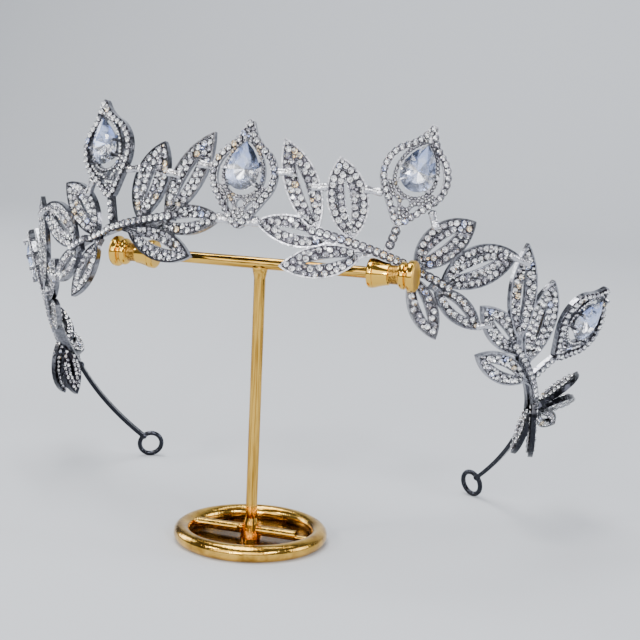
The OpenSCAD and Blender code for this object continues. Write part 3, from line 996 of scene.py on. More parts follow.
@dataclass
class LeafSprays:
    """The stone-set leaves of one half: stones, grains, slot edges and fluted stalks.

    A stone is given as its radius and the heights of its point, girdle and table. The rear leaves
    are set on their inner faces too, which show from the front.
    """

    half: Half
    face: TiaraFace
    leaf_floor: float = 0.9
    leaf_rim: float = 0.5
    ground_from: float = 0.125
    ground_gap: float = 0.02
    ground_z: float = 0.015
    field_from: float = 0.13
    slot_from: float = 0.2
    slot_share: float = 0.54
    slot_half: float = 0.7
    stones: tuple[StoneSize, ...] = (
        (1.0, 0.9, 1.45, 2.05),
        (0.8, 0.9, 1.4, 1.9),
        (0.5, 0.9, 1.25, 1.62),
    )
    stone_gap: float = 0.04
    grain_r: float = 0.27
    grain_top: float = 1.68
    edge_r: float = 0.2
    edge_out: float = 0.17
    edge_longer: float = 0.5
    flute_r: float = 0.19
    flutes: Point3 = (-0.5, 0.0, 0.5)
    tilt: float = math.radians(5)
    rear_from: int = 12
    rear_stones: tuple[StoneSize, ...] = ((0.68, -0.05, 0.35, 0.75), (0.5, -0.05, 0.35, 0.6))
    rear_gap: float = 0.22
    leaves: tuple[LeafPlan, ...] = (
        LeafPlan((24.2, 0.1, 0.2), (9.4, 26.3, 0.4), 4.7, 5.9),
        LeafPlan((34.4, 1.1, 0), (24.4, 24.4, 0), 5.7, 6.8),
        LeafPlan((29.4, -0.3, 0.1), (5.0, 0.4, 0.4), 4.6, 4.7),
        LeafPlan((39.4, -0.6, -0.2), (14.8, -11.5, -0.4), 5.5, 4.5),
        LeafPlan((54.7, 1.2, -2.0), (63.9, 22.3, 0.2), 6.9, 4.9),
        LeafPlan((63.6, 0.6, -0.2), (78.4, 21.4, 0.4), 7.4, 5.1),
        LeafPlan((54.6, -0.8, -2.0), (71.0, -14.3, 0.2), 4.3, 4.5),
        LeafPlan((62.0, -1.0, 0.1), (82.3, -3.6, 0.4), 4.2, 4.1),
        LeafPlan((101.4, 1.4, 0.2), (78.0, 2.2, 0), 4.9, 5.2),
        LeafPlan((112.4, -0.4, 0), (87.0, -10.2, 0), 4.7, 4.7),
        LeafPlan((96.4, 2.6, 0.5), (78.9, 26.2, 0.0), 5.2, 4.8),
        LeafPlan((105.8, 1.6, -0.1), (92.3, 24.3, -0.8), 5.9, 6.3),
        LeafPlan((128.2, 2.6, 0.4), (131.0, 24.0, -0.6), 4.2, 4.2, 40),
        LeafPlan((131.0, 3.6, 0.4), (146.0, 26.0, 0.6), 5.4, 5.4, 20),
        LeafPlan((131.4, 2.4, 0.8), (147.8, 15.0, 2.4), 3.4, 3.4, 0),
        LeafPlan((122.6, 0.6, 0.8), (141.8, -5.8, 8.4), 4.8, 4.8, -40),
        LeafPlan((125.4, 0.4, 0.2), (141.6, -9.4, 3.9), 4.4, 4.4, -40),
    )

    def __post_init__(self) -> None:
        """Seed the small unevenness of the setting."""
        self.chance = np.random.default_rng(11 if self.half is Half.RIGHT else 12)

    def hollow(self, plan: LeafPlan, length: float) -> Solid:
        """Sheet of painted shade over the sunk field, on both sides of the slot.

        Args:
            plan: The leaf.
            length: Its length.

        Returns:
            The skin.
        """
        middle = (plan.right - plan.left) / 2
        inset = self.leaf_rim + self.ground_gap
        ys = np.linspace(self.ground_from * length, length, 40)
        right = bulge_at(ys, length, plan.right, inset)
        left = -bulge_at(ys, length, plan.left, inset)
        start = self.slot_from * length
        long = self.slot_share * length
        slot = bulge_at(ys - start, long, self.slot_half + 2 * self.ground_gap)
        slot = np.where((ys > start) & (ys < start + long), np.maximum(slot, 0.0), 0.0)
        keep = right > left + 0.05
        points: list[Point3] = []
        for y, x0, x1, gap in zip(ys[keep], left[keep], right[keep], slot[keep]):
            inner = min(max(middle - gap, x0), x1)
            outer = min(max(middle + gap, x0), x1)
            height = self.leaf_floor + self.ground_z
            points += [(x, float(y), height) for x in (x0, inner, outer, x1)]
        faces = [face for face in skin(len(points) // 4, 4, closed=False) if face[0] % 4 != 1]
        return plain(points, faces, 1, smooth=False)

    def slot_outline(
        self, plan: LeafPlan, length: float, longer: float = 0.0, wider: float = 0.0
    ) -> np.ndarray:
        """Outline of a leaf's slot.

        Args:
            plan: The leaf.
            length: Its length.
            longer: How much longer than the slot the outline is.
            wider: How far to each side of the slot it runs.

        Returns:
            The outline's corners in order.
        """
        half = self.slot_half + wider
        foot = ((plan.right - plan.left) / 2, length * self.slot_from - longer / 2)
        count = 14 if longer else 10
        return lens(length * self.slot_share + longer, half, half, count) + np.array(foot)

    def set_face(
        self, plan: LeafPlan, seat: Matrix, stones: MeshBatch, behind: bool = False
    ) -> tuple[Paving, int]:
        """Set the stones of one face of a leaf, the big ones first.

        Args:
            plan: The leaf.
            seat: The leaf's seat.
            stones: Takes the stones.
            behind: Whether it is the inner face.

        Returns:
            The paving, for the grains, and the number of stones.
        """
        length = self.face.length(self.half, plan.foot, plan.tip)
        outline = lens(length, plan.left, plan.right)
        slot = self.slot_outline(plan, length)
        paving = Paving(outline, [slot], self.leaf_rim, length * self.field_from)
        side = -1 if behind else 1
        gap = self.rear_gap if behind else self.stone_gap
        count = 0
        for sizes in self.rear_stones if behind else self.stones:
            form = round_stone(*sizes)
            for x, y in paving.fill(sizes[0], gap):
                stones.add(form, seat @ self.unsteady(side * x, y))
                count += 1
        return paving, count

    def pave(self, plan: LeafPlan, stones: MeshBatch, metal: MeshBatch) -> int:
        """Set the outer face of a leaf.

        Args:
            plan: The leaf.
            stones: Takes its stones.
            metal: Takes its grains, slot edge and flutes.

        Returns:
            The number of stones.
        """
        seat = self.face.seat(self.half, plan.foot, plan.tip, plan.twist)
        length = self.face.length(self.half, plan.foot, plan.tip)
        metal.add(self.hollow(plan, length), seat)
        paving, count = self.set_face(plan, seat, stones)
        grain = metal_grain(self.grain_r, self.leaf_floor - 0.05, self.grain_top)
        for x, y in paving.fill(self.grain_r * 0.6, 0.02):
            metal.add(grain, seat @ shift(x, y))
        line = self.slot_outline(plan, length, self.edge_longer, self.edge_out)
        edge = lifted(line, self.leaf_floor + self.edge_r)
        metal.add(bead_wire(edge, self.edge_r, closed=True), seat)
        for offset in self.flutes:
            flute = [(offset * 0.9, -0.6, 1.58), (offset, length * 0.07, 1.6)]
            flute.append((offset * 1.7, length * 0.15, 1.45))
            metal.add(bead_wire(flute, self.flute_r, closed=False), seat)
        return count

    def pave_behind(self, plan: LeafPlan, stones: MeshBatch, metal: MeshBatch) -> int:
        """Set the inner face of a rear leaf on a sheet of painted shade.

        Args:
            plan: The leaf.
            stones: Takes its stones.
            metal: Takes its sheet of painted shade.

        Returns:
            The number of stones.
        """
        seat = self.face.seat(self.half, plan.foot, plan.tip, plan.twist)
        ground = self.hollow(plan, self.face.length(self.half, plan.foot, plan.tip))
        metal.add(ground, seat @ shift(0.0, 0.0, -self.leaf_floor - 2 * self.ground_z))
        return self.set_face(plan, seat @ Matrix.Rotation(math.pi, 4, "Y"), stones, behind=True)[1]

    def unsteady(self, x: float, y: float) -> Matrix:
        """Seat of a hand-set stone, tilted a few degrees either way.

        Args:
            x: Its place across the leaf.
            y: Its place along the leaf.

        Returns:
            The seat.
        """
        lean, roll, spin = self.chance.uniform(-1, 1, 3)
        return (
            shift(x, y)
            @ Matrix.Rotation(lean * self.tilt, 4, "X")
            @ Matrix.Rotation(roll * self.tilt, 4, "Y")
            @ Matrix.Rotation(spin * math.pi, 4, "Z")
        )

    def build(self, crystal: Finishes, plating: Finishes) -> None:
        """Set every leaf of the half.

        Args:
            crystal: Finishes of the stones and of their foil.
            plating: Finishes of the raised metal and of the painted shade in its hollows.
        """
        stones = MeshBatch()
        metal = MeshBatch()
        count = sum(self.pave(plan, stones, metal) for plan in self.leaves)
        rear = self.leaves[self.rear_from :]
        count += sum(self.pave_behind(plan, stones, metal) for plan in rear)
        LOG.info("leaves %s: %d stones", self.half.value, count)
        stones.build(f"leaf_stones_{self.half.value}", crystal, "small_crystal")
        metal.build(f"leaf_grains_{self.half.value}", plating, "tiara_metal")


@dataclass(frozen=True)
class DropOutline:
    """Outline of one drop frame of a given length: round foot, side, hollow arc and round tip."""

    length: float
    drop_r: float = 10.6
    foot_r: float = 3.0
    end_r: float = 1.4
    channel_w: float = 2.2
    foot_share: float = 0.49
    hollow_r: float = 12.0

    @property
    def centre(self) -> float:
        """Height of the middle of the round part."""
        return self.length * self.foot_share

    @property
    def half_foot(self) -> float:
        """Half of the angle at the foot."""
        return math.asin((self.drop_r - self.foot_r) / (self.centre - self.foot_r))

    @property
    def hollow(self) -> Point2:
        """Where the hollow arc has its middle.

        Returns:
            The middle, from the middle of the round part.
        """
        d = self.length - self.end_r - self.centre
        reach = (self.drop_r + self.hollow_r) ** 2
        y = (d * d + reach - (self.end_r + self.hollow_r) ** 2) / (2 * d)
        return math.sqrt(reach - y * y), y

    def side(self, inset: float) -> np.ndarray:
        """Right side of the outline from foot to tip, drawn in by an inset.

        Args:
            inset: How far inside the outline the line runs.

        Returns:
            Its points, the same number for every inset.
        """
        hx, hy = self.hollow
        top_a = math.atan2(hy, hx)
        if inset < self.end_r:
            end_a = math.atan2(self.centre + hy + self.end_r - self.length, hx)
        else:
            end_a = math.acos(hx / (self.hollow_r + inset))
        arcs = (
            (0.0, self.foot_r, self.foot_r - inset, -math.pi / 2, -self.half_foot, 8),
            (0.0, self.centre, self.drop_r - inset, -self.half_foot, top_a, 28),
            (hx, self.centre + hy, self.hollow_r + inset, math.pi + top_a, math.pi + end_a, 12),
            (0.0, self.length - self.end_r, max(0.0, self.end_r - inset), end_a, math.pi / 2, 5),
        )
        points = []
        for x, y, radius, first, last, count in arcs:
            turns = np.linspace(first, last, count)
            points.append(np.stack([x + radius * np.cos(turns), y + radius * np.sin(turns)], -1))
        if inset >= self.end_r:
            points[-1][:] = points[-2][-1]
        return np.vstack(points)

    def loop(self, inset: float) -> np.ndarray:
        """Closed outline drawn in by an inset."""
        side = self.side(inset)
        return np.vstack([side, side[::-1][1:-1] * np.array([-1.0, 1.0])])

    def stone_places(self, inset: float, pitch: float, least_x: float) -> list[Point2]:
        """Middles of the channel's stones: foot, tip, then pairs up its two sides.

        Args:
            inset: How far inside the outline their line runs.
            pitch: Distance between two of them along the line.
            least_x: Least distance of a pair's stones from the drop's axis.

        Returns:
            The places.
        """
        side = self.side(inset)
        runs = lengths_along(side)
        top = self.length - self.end_r
        places = [(0.0, inset), (0.0, top)]
        for i in range(1, int(runs[-1] / pitch)):
            x, y = point_at(side, runs, i * pitch)
            if x > least_x and y < top - 1.8:
                places += [(x, y), (-x, y)]
        return places


@dataclass(frozen=True)
class PearOutline:
    """Outline of a pear-cut stone about the middle of its round end."""

    radius: float = 5.2
    tip: float = 9.4
    side_r: float = 12.4

    def edge(self, angle: float, grow: float = 0.0) -> Point2:
        """Point of the outline, grown by a margin.

        Args:
            angle: The angle to the point, in degrees.
            grow: The margin.

        Returns:
            The point.
        """
        degrees = (angle + 90) % 360 - 90
        y = (self.tip**2 - 2 * self.side_r * self.radius + self.radius**2) / (2 * self.tip)
        x = math.sqrt((self.side_r - self.radius) ** 2 - y * y)
        side = math.degrees(math.atan2(-y, x))
        f = 180 - degrees if degrees > 90 else degrees
        b = x * math.cos(math.radians(f)) - y * math.sin(math.radians(f))
        k = x * x + y * y - (self.side_r + grow) ** 2
        r = self.radius + grow if f < side else math.sqrt(b * b - k) - b
        return r * math.cos(math.radians(degrees)), r * math.sin(math.radians(degrees))


@dataclass
class PearDrop:
    """One drop: its cup-set channel stones, fine inner row, lattice grains and pear-cut stone.

    Stones, cups and grains are given as their radii, and their heights above the drop's face. A
    ring of the pear is given as its size, its height above the girdle, its number of points and
    their offset. Its point, the culet, is given up the drop and above the girdle, and the round
    hole and the slits of the lattice as their sizes and their places from the pear's foot.
    """

    name: str
    half: Half
    face: TiaraFace
    foot: Point3
    tip: Point3
    drop_t: float = 1.7
    pear_z: float = 2.75
    pear_gap: float = 0.9
    pear: PearOutline = PearOutline()
    pear_rings: tuple[tuple[float, float, int, float], ...] = (
        (0.52, 1.65, 12, 0.0),
        (0.78, 1.2, 12, 0.5),
        (1.0, 0.3, 24, 0.0),
        (1.0, 0.0, 24, 0.0),
        (0.55, -1.35, 12, 0.5),
    )
    culet: Point2 = (1.2, -2.45)
    stone_pitch: float = 2.1
    channel_stone: StoneSize = (0.97, 0.04, 0.52, 0.98)
    channel_cup: StoneSize = (1.05, 0.97, -0.1, 0.5)
    claw: Point2 = (0.22, 0.78)
    claw_at: float = 0.98
    spire_radii: Point3 = (0.8, 0.6, 0.42)
    spire_reach: float = 2.2
    spire_from: float = 9.6
    fine_pitch: float = 1.12
    row_out: float = 0.95
    row_stone: StoneSize = (0.46, 0.0, 0.22, 0.42)
    row_grain: Point2 = (0.17, 0.34)
    seat_out: float = 1.4
    lattice: Point2 = (-3.6, 6.2)
    lattice_stone: StoneSize = (0.55, 0.0, 0.26, 0.5)
    lattice_grain: Point2 = (0.2, 0.3)
    hole: Point2 = (1.2, -3.7)
    slit: Point2 = (3.6, 0.7)
    slit_at: Point2 = (3.0, -4.5)

    def __post_init__(self) -> None:
        """Work out the seat and the outline."""
        self.seat = self.face.seat(self.half, self.foot, self.tip)
        self.outline = DropOutline(self.face.length(self.half, self.foot, self.tip))
        self.middle = self.outline.centre + 0.4

    def small_stone(self, radius: float, base: float, girdle: float, table: float) -> Solid:
        """Round stone with its heights above the drop's face."""
        return round_stone(radius, self.drop_t + base, self.drop_t + girdle, self.drop_t + table)

    def small_grain(self, radius: float, top: float) -> Solid:
        """Metal grain with its top so far above the drop's face."""
        return metal_grain(radius, self.drop_t - 0.1, self.drop_t + top)

    def about_pear(self, angles: Sequence[float], grow: float) -> np.ndarray:
        """Line round the pear, let down a little at its round end.

        Args:
            angles: The angles of its points, in degrees.
            grow: How far outside the pear it runs.

        Returns:
            Its points.
        """
        line = np.array([self.pear.edge(a, grow) for a in angles])
        line[:, 1] -= self.pear_gap * np.clip(0.5 - line[:, 1] / 5, 0, 1)
        return line

    def channel(self, stones: MeshBatch, metal: MeshBatch) -> None:
        """Set the cups and stones of the outer channel.

        Args:
            stones: Takes the stones.
            metal: Takes the metal about them.
        """
        stone = self.small_stone(*self.channel_stone)
        outer_r, inner_r, foot, rim = self.channel_cup
        # The channel's cups take the painted shade finish of the hollows
        cup = stone_cup(outer_r, inner_r, self.drop_t + foot, self.drop_t + rim, slot=1)
        claw = self.small_grain(*self.claw)
        places = self.outline.stone_places(1.0, self.stone_pitch, 1.07)
        outer = self.outline.side(0.3)
        both = np.vstack([outer, self.outline.side(self.outline.channel_w - 0.25)])
        # A sheet of painted shade lines the channel under the cups
        for sign in (-1, 1):
            ground = lifted(both * np.array([sign, 1]), self.drop_t + 0.02)
            faces = [face[::-sign] for face in skin(2, len(outer), closed=False)]
            metal.add(plain(ground, faces, 1, smooth=False), self.seat)
        spire = Paving(self.outline.loop(0.15), [], 0.0, self.outline.length - 6.4, 0.1)
        spire.taken = [(x, y, 0.95) for x, y in places]
        for radius in self.spire_radii:
            small = self.small_stone(radius, 0.04, 0.42, 0.8)
            for x, y in spire.fill(radius, 0.02):
                if abs(x) < self.spire_reach and y > self.middle + self.spire_from:
                    stones.add(small, self.seat @ shift(x, y))
        for x, y in places:
            spot = self.seat @ shift(x, y)
            stones.add(stone, spot)
            metal.add(cup, spot)
            for quarter in range(4):
                a = math.pi / 4 + quarter * math.pi / 2
                metal.add(claw, spot @ shift(self.claw_at * math.cos(a), self.claw_at * math.sin(a)))

    def inner_row(self, stones: MeshBatch, metal: MeshBatch) -> None:
        """Set the fine stones on the ring round the pear, with a grain after each.

        Args:
            stones: Takes the stones.
            metal: Takes the metal about them.
        """
        fine = self.small_stone(*self.row_stone)
        grain = self.small_grain(*self.row_grain)
        path = self.about_pear(np.linspace(-90, 270, 721), self.row_out)
        runs = lengths_along(path)
        count = 2 * int(runs[-1] / self.fine_pitch)
        for i in range(count):
            x, y = point_at(path, runs, runs[-1] * i / count)
            spot = self.seat @ shift(x, y + self.middle)
            if i % 2 == 0:
                stones.add(fine, spot)
                # A patch of painted shade under each fine stone
                metal.add(shade_tile(0.66, self.drop_t + 0.01), spot)
            else:
                metal.add(grain, spot)

    def openings(self) -> list[np.ndarray]:
        """Outline what is cut through the lattice.

        Returns:
            The outlines of the round hole and of the two slits.
        """
        low = self.middle - self.pear.radius
        radius, down = self.hole
        holes = [np.array([(p[0], p[1] + low + down) for p in ring(radius, 0.0, 16)])]
        length, half = self.slit
        x, down = self.slit_at
        for sign in (-1, 1):
            slit = lens(length, half, half, 8) - np.array([0.0, length / 2])
            a = -sign * self.outline.half_foot
            spin = np.array([[math.cos(a), math.sin(a)], [-math.sin(a), math.cos(a)]])
            holes.append(slit @ spin + np.array([sign * x, low + down]))
        return holes

    def set_lattice(self, stones: MeshBatch, metal: MeshBatch) -> None:
        """Set the small stones and grains of the fields below and above the pear.

        Args:
            stones: Takes the stones.
            metal: Takes the metal about them.
        """
        inside = self.outline.loop(self.outline.channel_w - 0.1)
        seat = self.about_pear(range(-90, 270, 8), self.seat_out) + np.array([0.0, self.middle])
        openings = self.openings()
        below = inside[:, 1] < self.middle + self.lattice[0]
        above = inside[:, 1] > self.middle + self.lattice[1]
        fine = self.small_stone(*self.lattice_stone)
        grain = self.small_grain(*self.lattice_grain)
        for part in (below, above):
            paving = Paving(inside[part], [*openings, seat], 0.05, -5.0, 0.12)
            for x, y in paving.fill(0.52, 0.06):
                spot = self.seat @ shift(x, y)
                stones.add(fine, spot)
                # A patch of painted shade under each lattice stone
                metal.add(shade_tile(0.74, self.drop_t + 0.01), spot)
            for x, y in paving.fill(0.15, 0.08):
                metal.add(grain, self.seat @ shift(x, y))
        for opening in openings:
            middle = opening.mean(0)
            edge = lifted(middle + (opening - middle) * 1.12, self.drop_t + 0.02)
            metal.add(bead_wire(edge, 0.16, closed=True), self.seat)

    def cut_pear(self) -> Solid:
        """Faceted pear with a foiled back.

        Returns:
            The stone, with crystal in slot 0 and foil in slot 1 low down and 2 high up.
        """
        sides = self.pear_rings[0][2]
        culet_y, culet_z = self.culet
        points: list[Point3] = []
        starts: list[int] = []
        for size, height, count, offset in self.pear_rings:
            starts.append(len(points))
            for i in range(count):
                share = (i + offset) / count
                # The outline's points lie closer together about its tip
                x, y = self.pear.edge(90 - 360 * share - 9 * math.sin(2 * math.pi * share))
                points.append((size * x, culet_y + size * (y - culet_y), self.pear_z + height))
        points.append((0.0, culet_y, self.pear_z + culet_z))
        table, star, upper, lower, deep = starts
        culet = len(points) - 1
        faces: list[Face] = [tuple(range(sides))[::-1]]
        slots = [0]
        for i in range(sides):
            j = (i + 1) % sides
            first, second, third = 2 * i, 2 * i + 1, (2 * i + 2) % (2 * sides)
            crown = [
                (table + i, table + j, star + i),
                (table + i, star + i, upper + first),
                (table + j, upper + third, star + i),
                (star + i, upper + second, upper + first),
                (star + i, upper + third, upper + second),
                (upper + first, upper + second, lower + second, lower + first),
                (upper + second, upper + third, lower + third, lower + second),
            ]
            back = [
                (lower + first, lower + second, deep + i),
                (lower + second, lower + third, deep + i),
                (lower + third, deep + j, deep + i),
                (culet, deep + i, deep + j),
            ]
            faces += crown + back
            foil = 2 if points[deep + i][1] > culet_y else 1
            slots += [0] * len(crown) + [foil] * len(back)
        return Solid(points, faces, slots)

    def build(self, crystal: Finishes, pear_crystal: Finishes, plating: Finishes) -> None:
        """Dress the drop.

        Args:
            crystal: Finishes of the small stones and of their foil.
            pear_crystal: Finishes of the pear stone, and of its lower and its upper foil.
            plating: Finishes of the raised metal and of the painted shade in its hollows.
        """
        stones = MeshBatch()
        fine = MeshBatch()
        metal = MeshBatch()
        self.channel(stones, metal)
        self.inner_row(fine, metal)
        self.set_lattice(fine, metal)
        row = stones.build(f"channel_stones_{self.name}", crystal, "small_crystal")
        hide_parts(f"drop_stones_{self.name}")
        fine.build(f"fine_stones_{self.name}", crystal, "small_crystal")
        metal.build(f"cups_{self.name}", plating, "tiara_metal")
        gem = MeshBatch()
        gem.add(self.cut_pear(), self.seat @ shift(0.0, self.middle))
        pear = gem.build(f"pear_{self.name}", pear_crystal, "pear_crystal")
        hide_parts(f"stone_{self.name}")


@dataclass
class StemRows:
    """The stones along the stems and drop stalks of one half."""

    half: Half
    face: TiaraFace
    front: Point2 = (22.7, 65.7)
    set_back: Point2 = (46.6, 58.4)
    behind_knob: Point2 = (51.2, 56.6)
    side: Point2 = (96.0, 130.8)
    pitch: float = 2.15
    level: Point2 = (0.9, 1.9)
    back_level: Point2 = (1.15, -0.2)
    inner_stalk: tuple[Point3, ...] = ((44.9, 4.4, 1.66), (44.9, 6.6, 1.66), (44.9, 8.8, 1.66))
    outer_stalk: tuple[Point3, ...] = (
        (112.4, 3.6, 1.56),
        (112.4, 5.8, 1.56),
        (112.4, 8.0, 1.56),
        (112.4, 10.0, 1.56),
    )
    stone: StoneSize = (0.97, 0.06, 0.52, 0.98)
    cup: StoneSize = (1.12, 0.98, -0.3, 0.46)
    ground: Point2 = (1.5, 0.02)

    def row(self, first: float, last: float) -> list[float]:
        """Places of a row's stones along the band."""
        count = int((last - first) / self.pitch) + 1
        return [first + i * self.pitch for i in range(count)]

    def set_stones(self, places: Sequence[Point3], stones: MeshBatch, metal: MeshBatch) -> None:
        """Set a stone in its cup on the metal at each place.

        Args:
            places: Length along the band, height up the face, and height above it.
            stones: Takes the stones.
            metal: Takes their cups and the patches of painted shade under them.
        """
        for along, up, out in places:
            spot = self.face.seat(self.half, (along, up, 0.0), (along, up + 1, 0.0))
            spot = spot @ shift(0.0, 0.0, out)
            stones.add(round_stone(*self.stone), spot)
            metal.add(stone_cup(*self.cup), spot)
            # A patch of painted shade under each stone
            metal.add(shade_tile(*self.ground), spot)

    def build(self, crystal: Finishes, plating: Finishes) -> None:
        """Set the rows.

        Args:
            crystal: Finishes of the stones and of their foil.
            plating: Finishes of the raised metal and of the painted shade in its hollows.
        """
        front = MeshBatch()
        side = MeshBatch()
        metal = MeshBatch()
        places = []
        for s in self.row(*self.front):
            if not self.set_back[0] < s < self.set_back[1]:
                places.append((s, *self.level))
            elif self.half is Half.LEFT or not self.behind_knob[0] < s < self.behind_knob[1]:
                places.append((s, *self.back_level))
        self.set_stones([*places, *self.inner_stalk], front, metal)
        places = [(s, *self.level) for s in self.row(*self.side)]
        self.set_stones([*places, *self.outer_stalk], side, metal)
        piece = front.build(f"stem_row_{self.half.value}", crystal, "small_crystal")
        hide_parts(f"stem_stones_{self.half.value}")
        side.build(f"side_row_{self.half.value}", crystal, "small_crystal")
        metal.build(f"stem_cups_{self.half.value}", plating, "tiara_metal")


@dataclass
class SolderedStruts:
    """Solder drawn over the short bars that join leaves, drops and stems.

    Its half width, a share of the bar's width, and its height grow by the second value to the ends.
    """

    half: Half
    face: TiaraFace
    overrun: float = 0.9
    foot_z: float = 1.35
    widths: Point2 = (0.55, 0.3)
    heights: Point2 = (0.55, 0.45)
    bars: tuple[tuple[Point3, Point3, float], ...] = (
        ((0.4, -0.4, 0.8), (6.2, 0.3, 0.6), 2.2),
        ((9.0, 15.6, 0.6), (13.0, 16.4, 0.6), 1.8),
        ((19.6, 13.4, 0.2), (23.0, 14.4, 0.2), 1.8),
        ((33.4, 17.2, 0.1), (37.4, 17.8, 0.2), 1.8),
        ((52.0, 18.2, 0.2), (54.6, 14.8, 0.2), 1.8),
        ((76.8, 19.6, 0.3), (82.0, 21.4, 0.3), 1.6),
        ((80.6, -3.4, 0.3), (84.0, -0.6, 0.1), 1.6),
    )

    def build(self, solder: Material) -> None:
        """Flow the solder along each bar, thickest where it joins.

        Args:
            solder: Its finish.
        """
        drops = MeshBatch()
        sides = 10
        rows = 13
        for foot, tip, width in self.bars:
            length = self.face.length(self.half, foot, tip)
            points: list[Point3] = []
            for y in np.linspace(-self.overrun, length + self.overrun, rows):
                swell = abs(2 * (y + self.overrun) / (length + 2 * self.overrun) - 1)
                taper = math.sqrt(max(0.0, 1 - swell**8))
                half = width * (self.widths[0] + self.widths[1] * swell) * taper
                rise = (self.heights[0] + self.heights[1] * swell) * taper
                for k in range(sides + 1):
                    a = math.pi * k / sides
                    points.append((half * math.cos(a), float(y), self.foot_z + rise * math.sin(a)))
            faces = [(a, d, c, b) for a, b, c, d in skin(rows, sides + 1, closed=False)]
            drops.add(plain(points, faces), self.face.seat(self.half, foot, tip))
        drops.build(f"solder_{self.half.value}", [solder], "tiara_metal")


@dataclass(frozen=True)
class TurnedKnob:
    """Lathe-turned knob on one end of the bar: lip, cone, waist, bead, groove and dished disc."""

    half: Half
    foot: float = 34.5
    bar_height: float = 86.9
    bead_r: float = 1.15
    bead_middle: Point2 = (3.0, 10.55)
    profile: tuple[tuple[Point2, ...], ...] = (
        ((1.92, 2.0), (1.92, 0.0)),
        ((1.92, 0.0), (3.9, 0.0)),
        ((3.9, 0.0), (4.22, 0.1), (4.42, 0.35), (4.45, 0.6), (4.45, 1.4), (4.38, 1.6), (4.2, 1.75)),
        ((4.2, 1.75), (4.3, 1.85), (4.35, 2.0)),
        ((4.35, 2.0), (3.95, 3.1), (3.62, 4.3), (3.38, 5.5), (3.3, 6.2)),
        ((3.3, 6.2), (3.05, 6.3), (2.85, 6.5)),
        ((2.85, 6.5), (2.85, 9.1)),
        ((2.85, 9.1), (3.05, 9.2), (3.3, 9.3)),
        ((3.3, 9.3), (3.3, 9.45)),
    )
    after_bead: tuple[tuple[Point2, ...], ...] = (
        ((4.3, 12.1), (4.62, 12.25), (4.78, 12.55), (4.8, 12.9), (4.8, 13.4)),
        ((4.8, 13.4), (4.7, 13.75), (4.48, 14.15), (4.2, 14.42), (3.95, 14.5)),
        ((3.95, 14.5), (3.6, 14.3), (2.4, 14.12), (1.2, 14.02), (0.01, 14.0)),
    )

    def sections(self) -> list[Sequence[Point2]]:
        """Put the profile together from the open end to the dish.

        Returns:
            Its parts, cut where its edges are sharp.
        """
        x, y = self.bead_middle
        turns = np.linspace(math.radians(-75), math.radians(75), 11)
        bead = [(x + self.bead_r * math.cos(a), y + self.bead_r * math.sin(a)) for a in turns]
        groove = (bead[-1], (3.3, 11.75), (3.3, 12.0), (4.3, 12.1))
        return [*self.profile, bead, groove, *self.after_bead]

    def build(self, gold: Material) -> None:
        """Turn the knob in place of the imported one.

        Args:
            gold: Its finish.
        """
        sides = 72
        batch = MeshBatch()
        sign = 1 if self.half is Half.RIGHT else -1
        seat = shift(sign * self.foot, 0.0, self.bar_height)
        seat = seat @ Matrix.Rotation(sign * math.pi / 2, 4, "Y")
        for part in self.sections():
            points = [point for radius, height in part for point in ring(radius, height, sides)]
            batch.add(plain(points, skin(len(part), sides)), seat)
        knob = batch.build(f"turned_knob_{self.half.value}", [gold], "gold_metal")
        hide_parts(f"knob_{self.half.value}")


@dataclass(frozen=True)
class SoftBox:
    """One soft area light: its place and size in metres, its power in watts, and what it faces."""

    name: str
    place: Point3
    size: Point2
    power: float
    tint: str = "#ffffff"
    target: Point3 = (0.0, 0.02, 0.08)

    def build(self) -> None:
        """Create the light."""
        data = bpy.data.lights.new(self.name, "AREA")
        data.shape = "RECTANGLE"
        data.size, data.size_y = self.size
        data.energy = self.power
        data.color = linear(self.tint)[:3]
        light = bpy.data.objects.new(self.name, data)
        light.location = self.place
        aim = Vector(self.target) - Vector(self.place)
        light.rotation_euler = aim.to_track_quat("-Z", "Y").to_euler()
        bpy.context.scene.collection.objects.link(light)


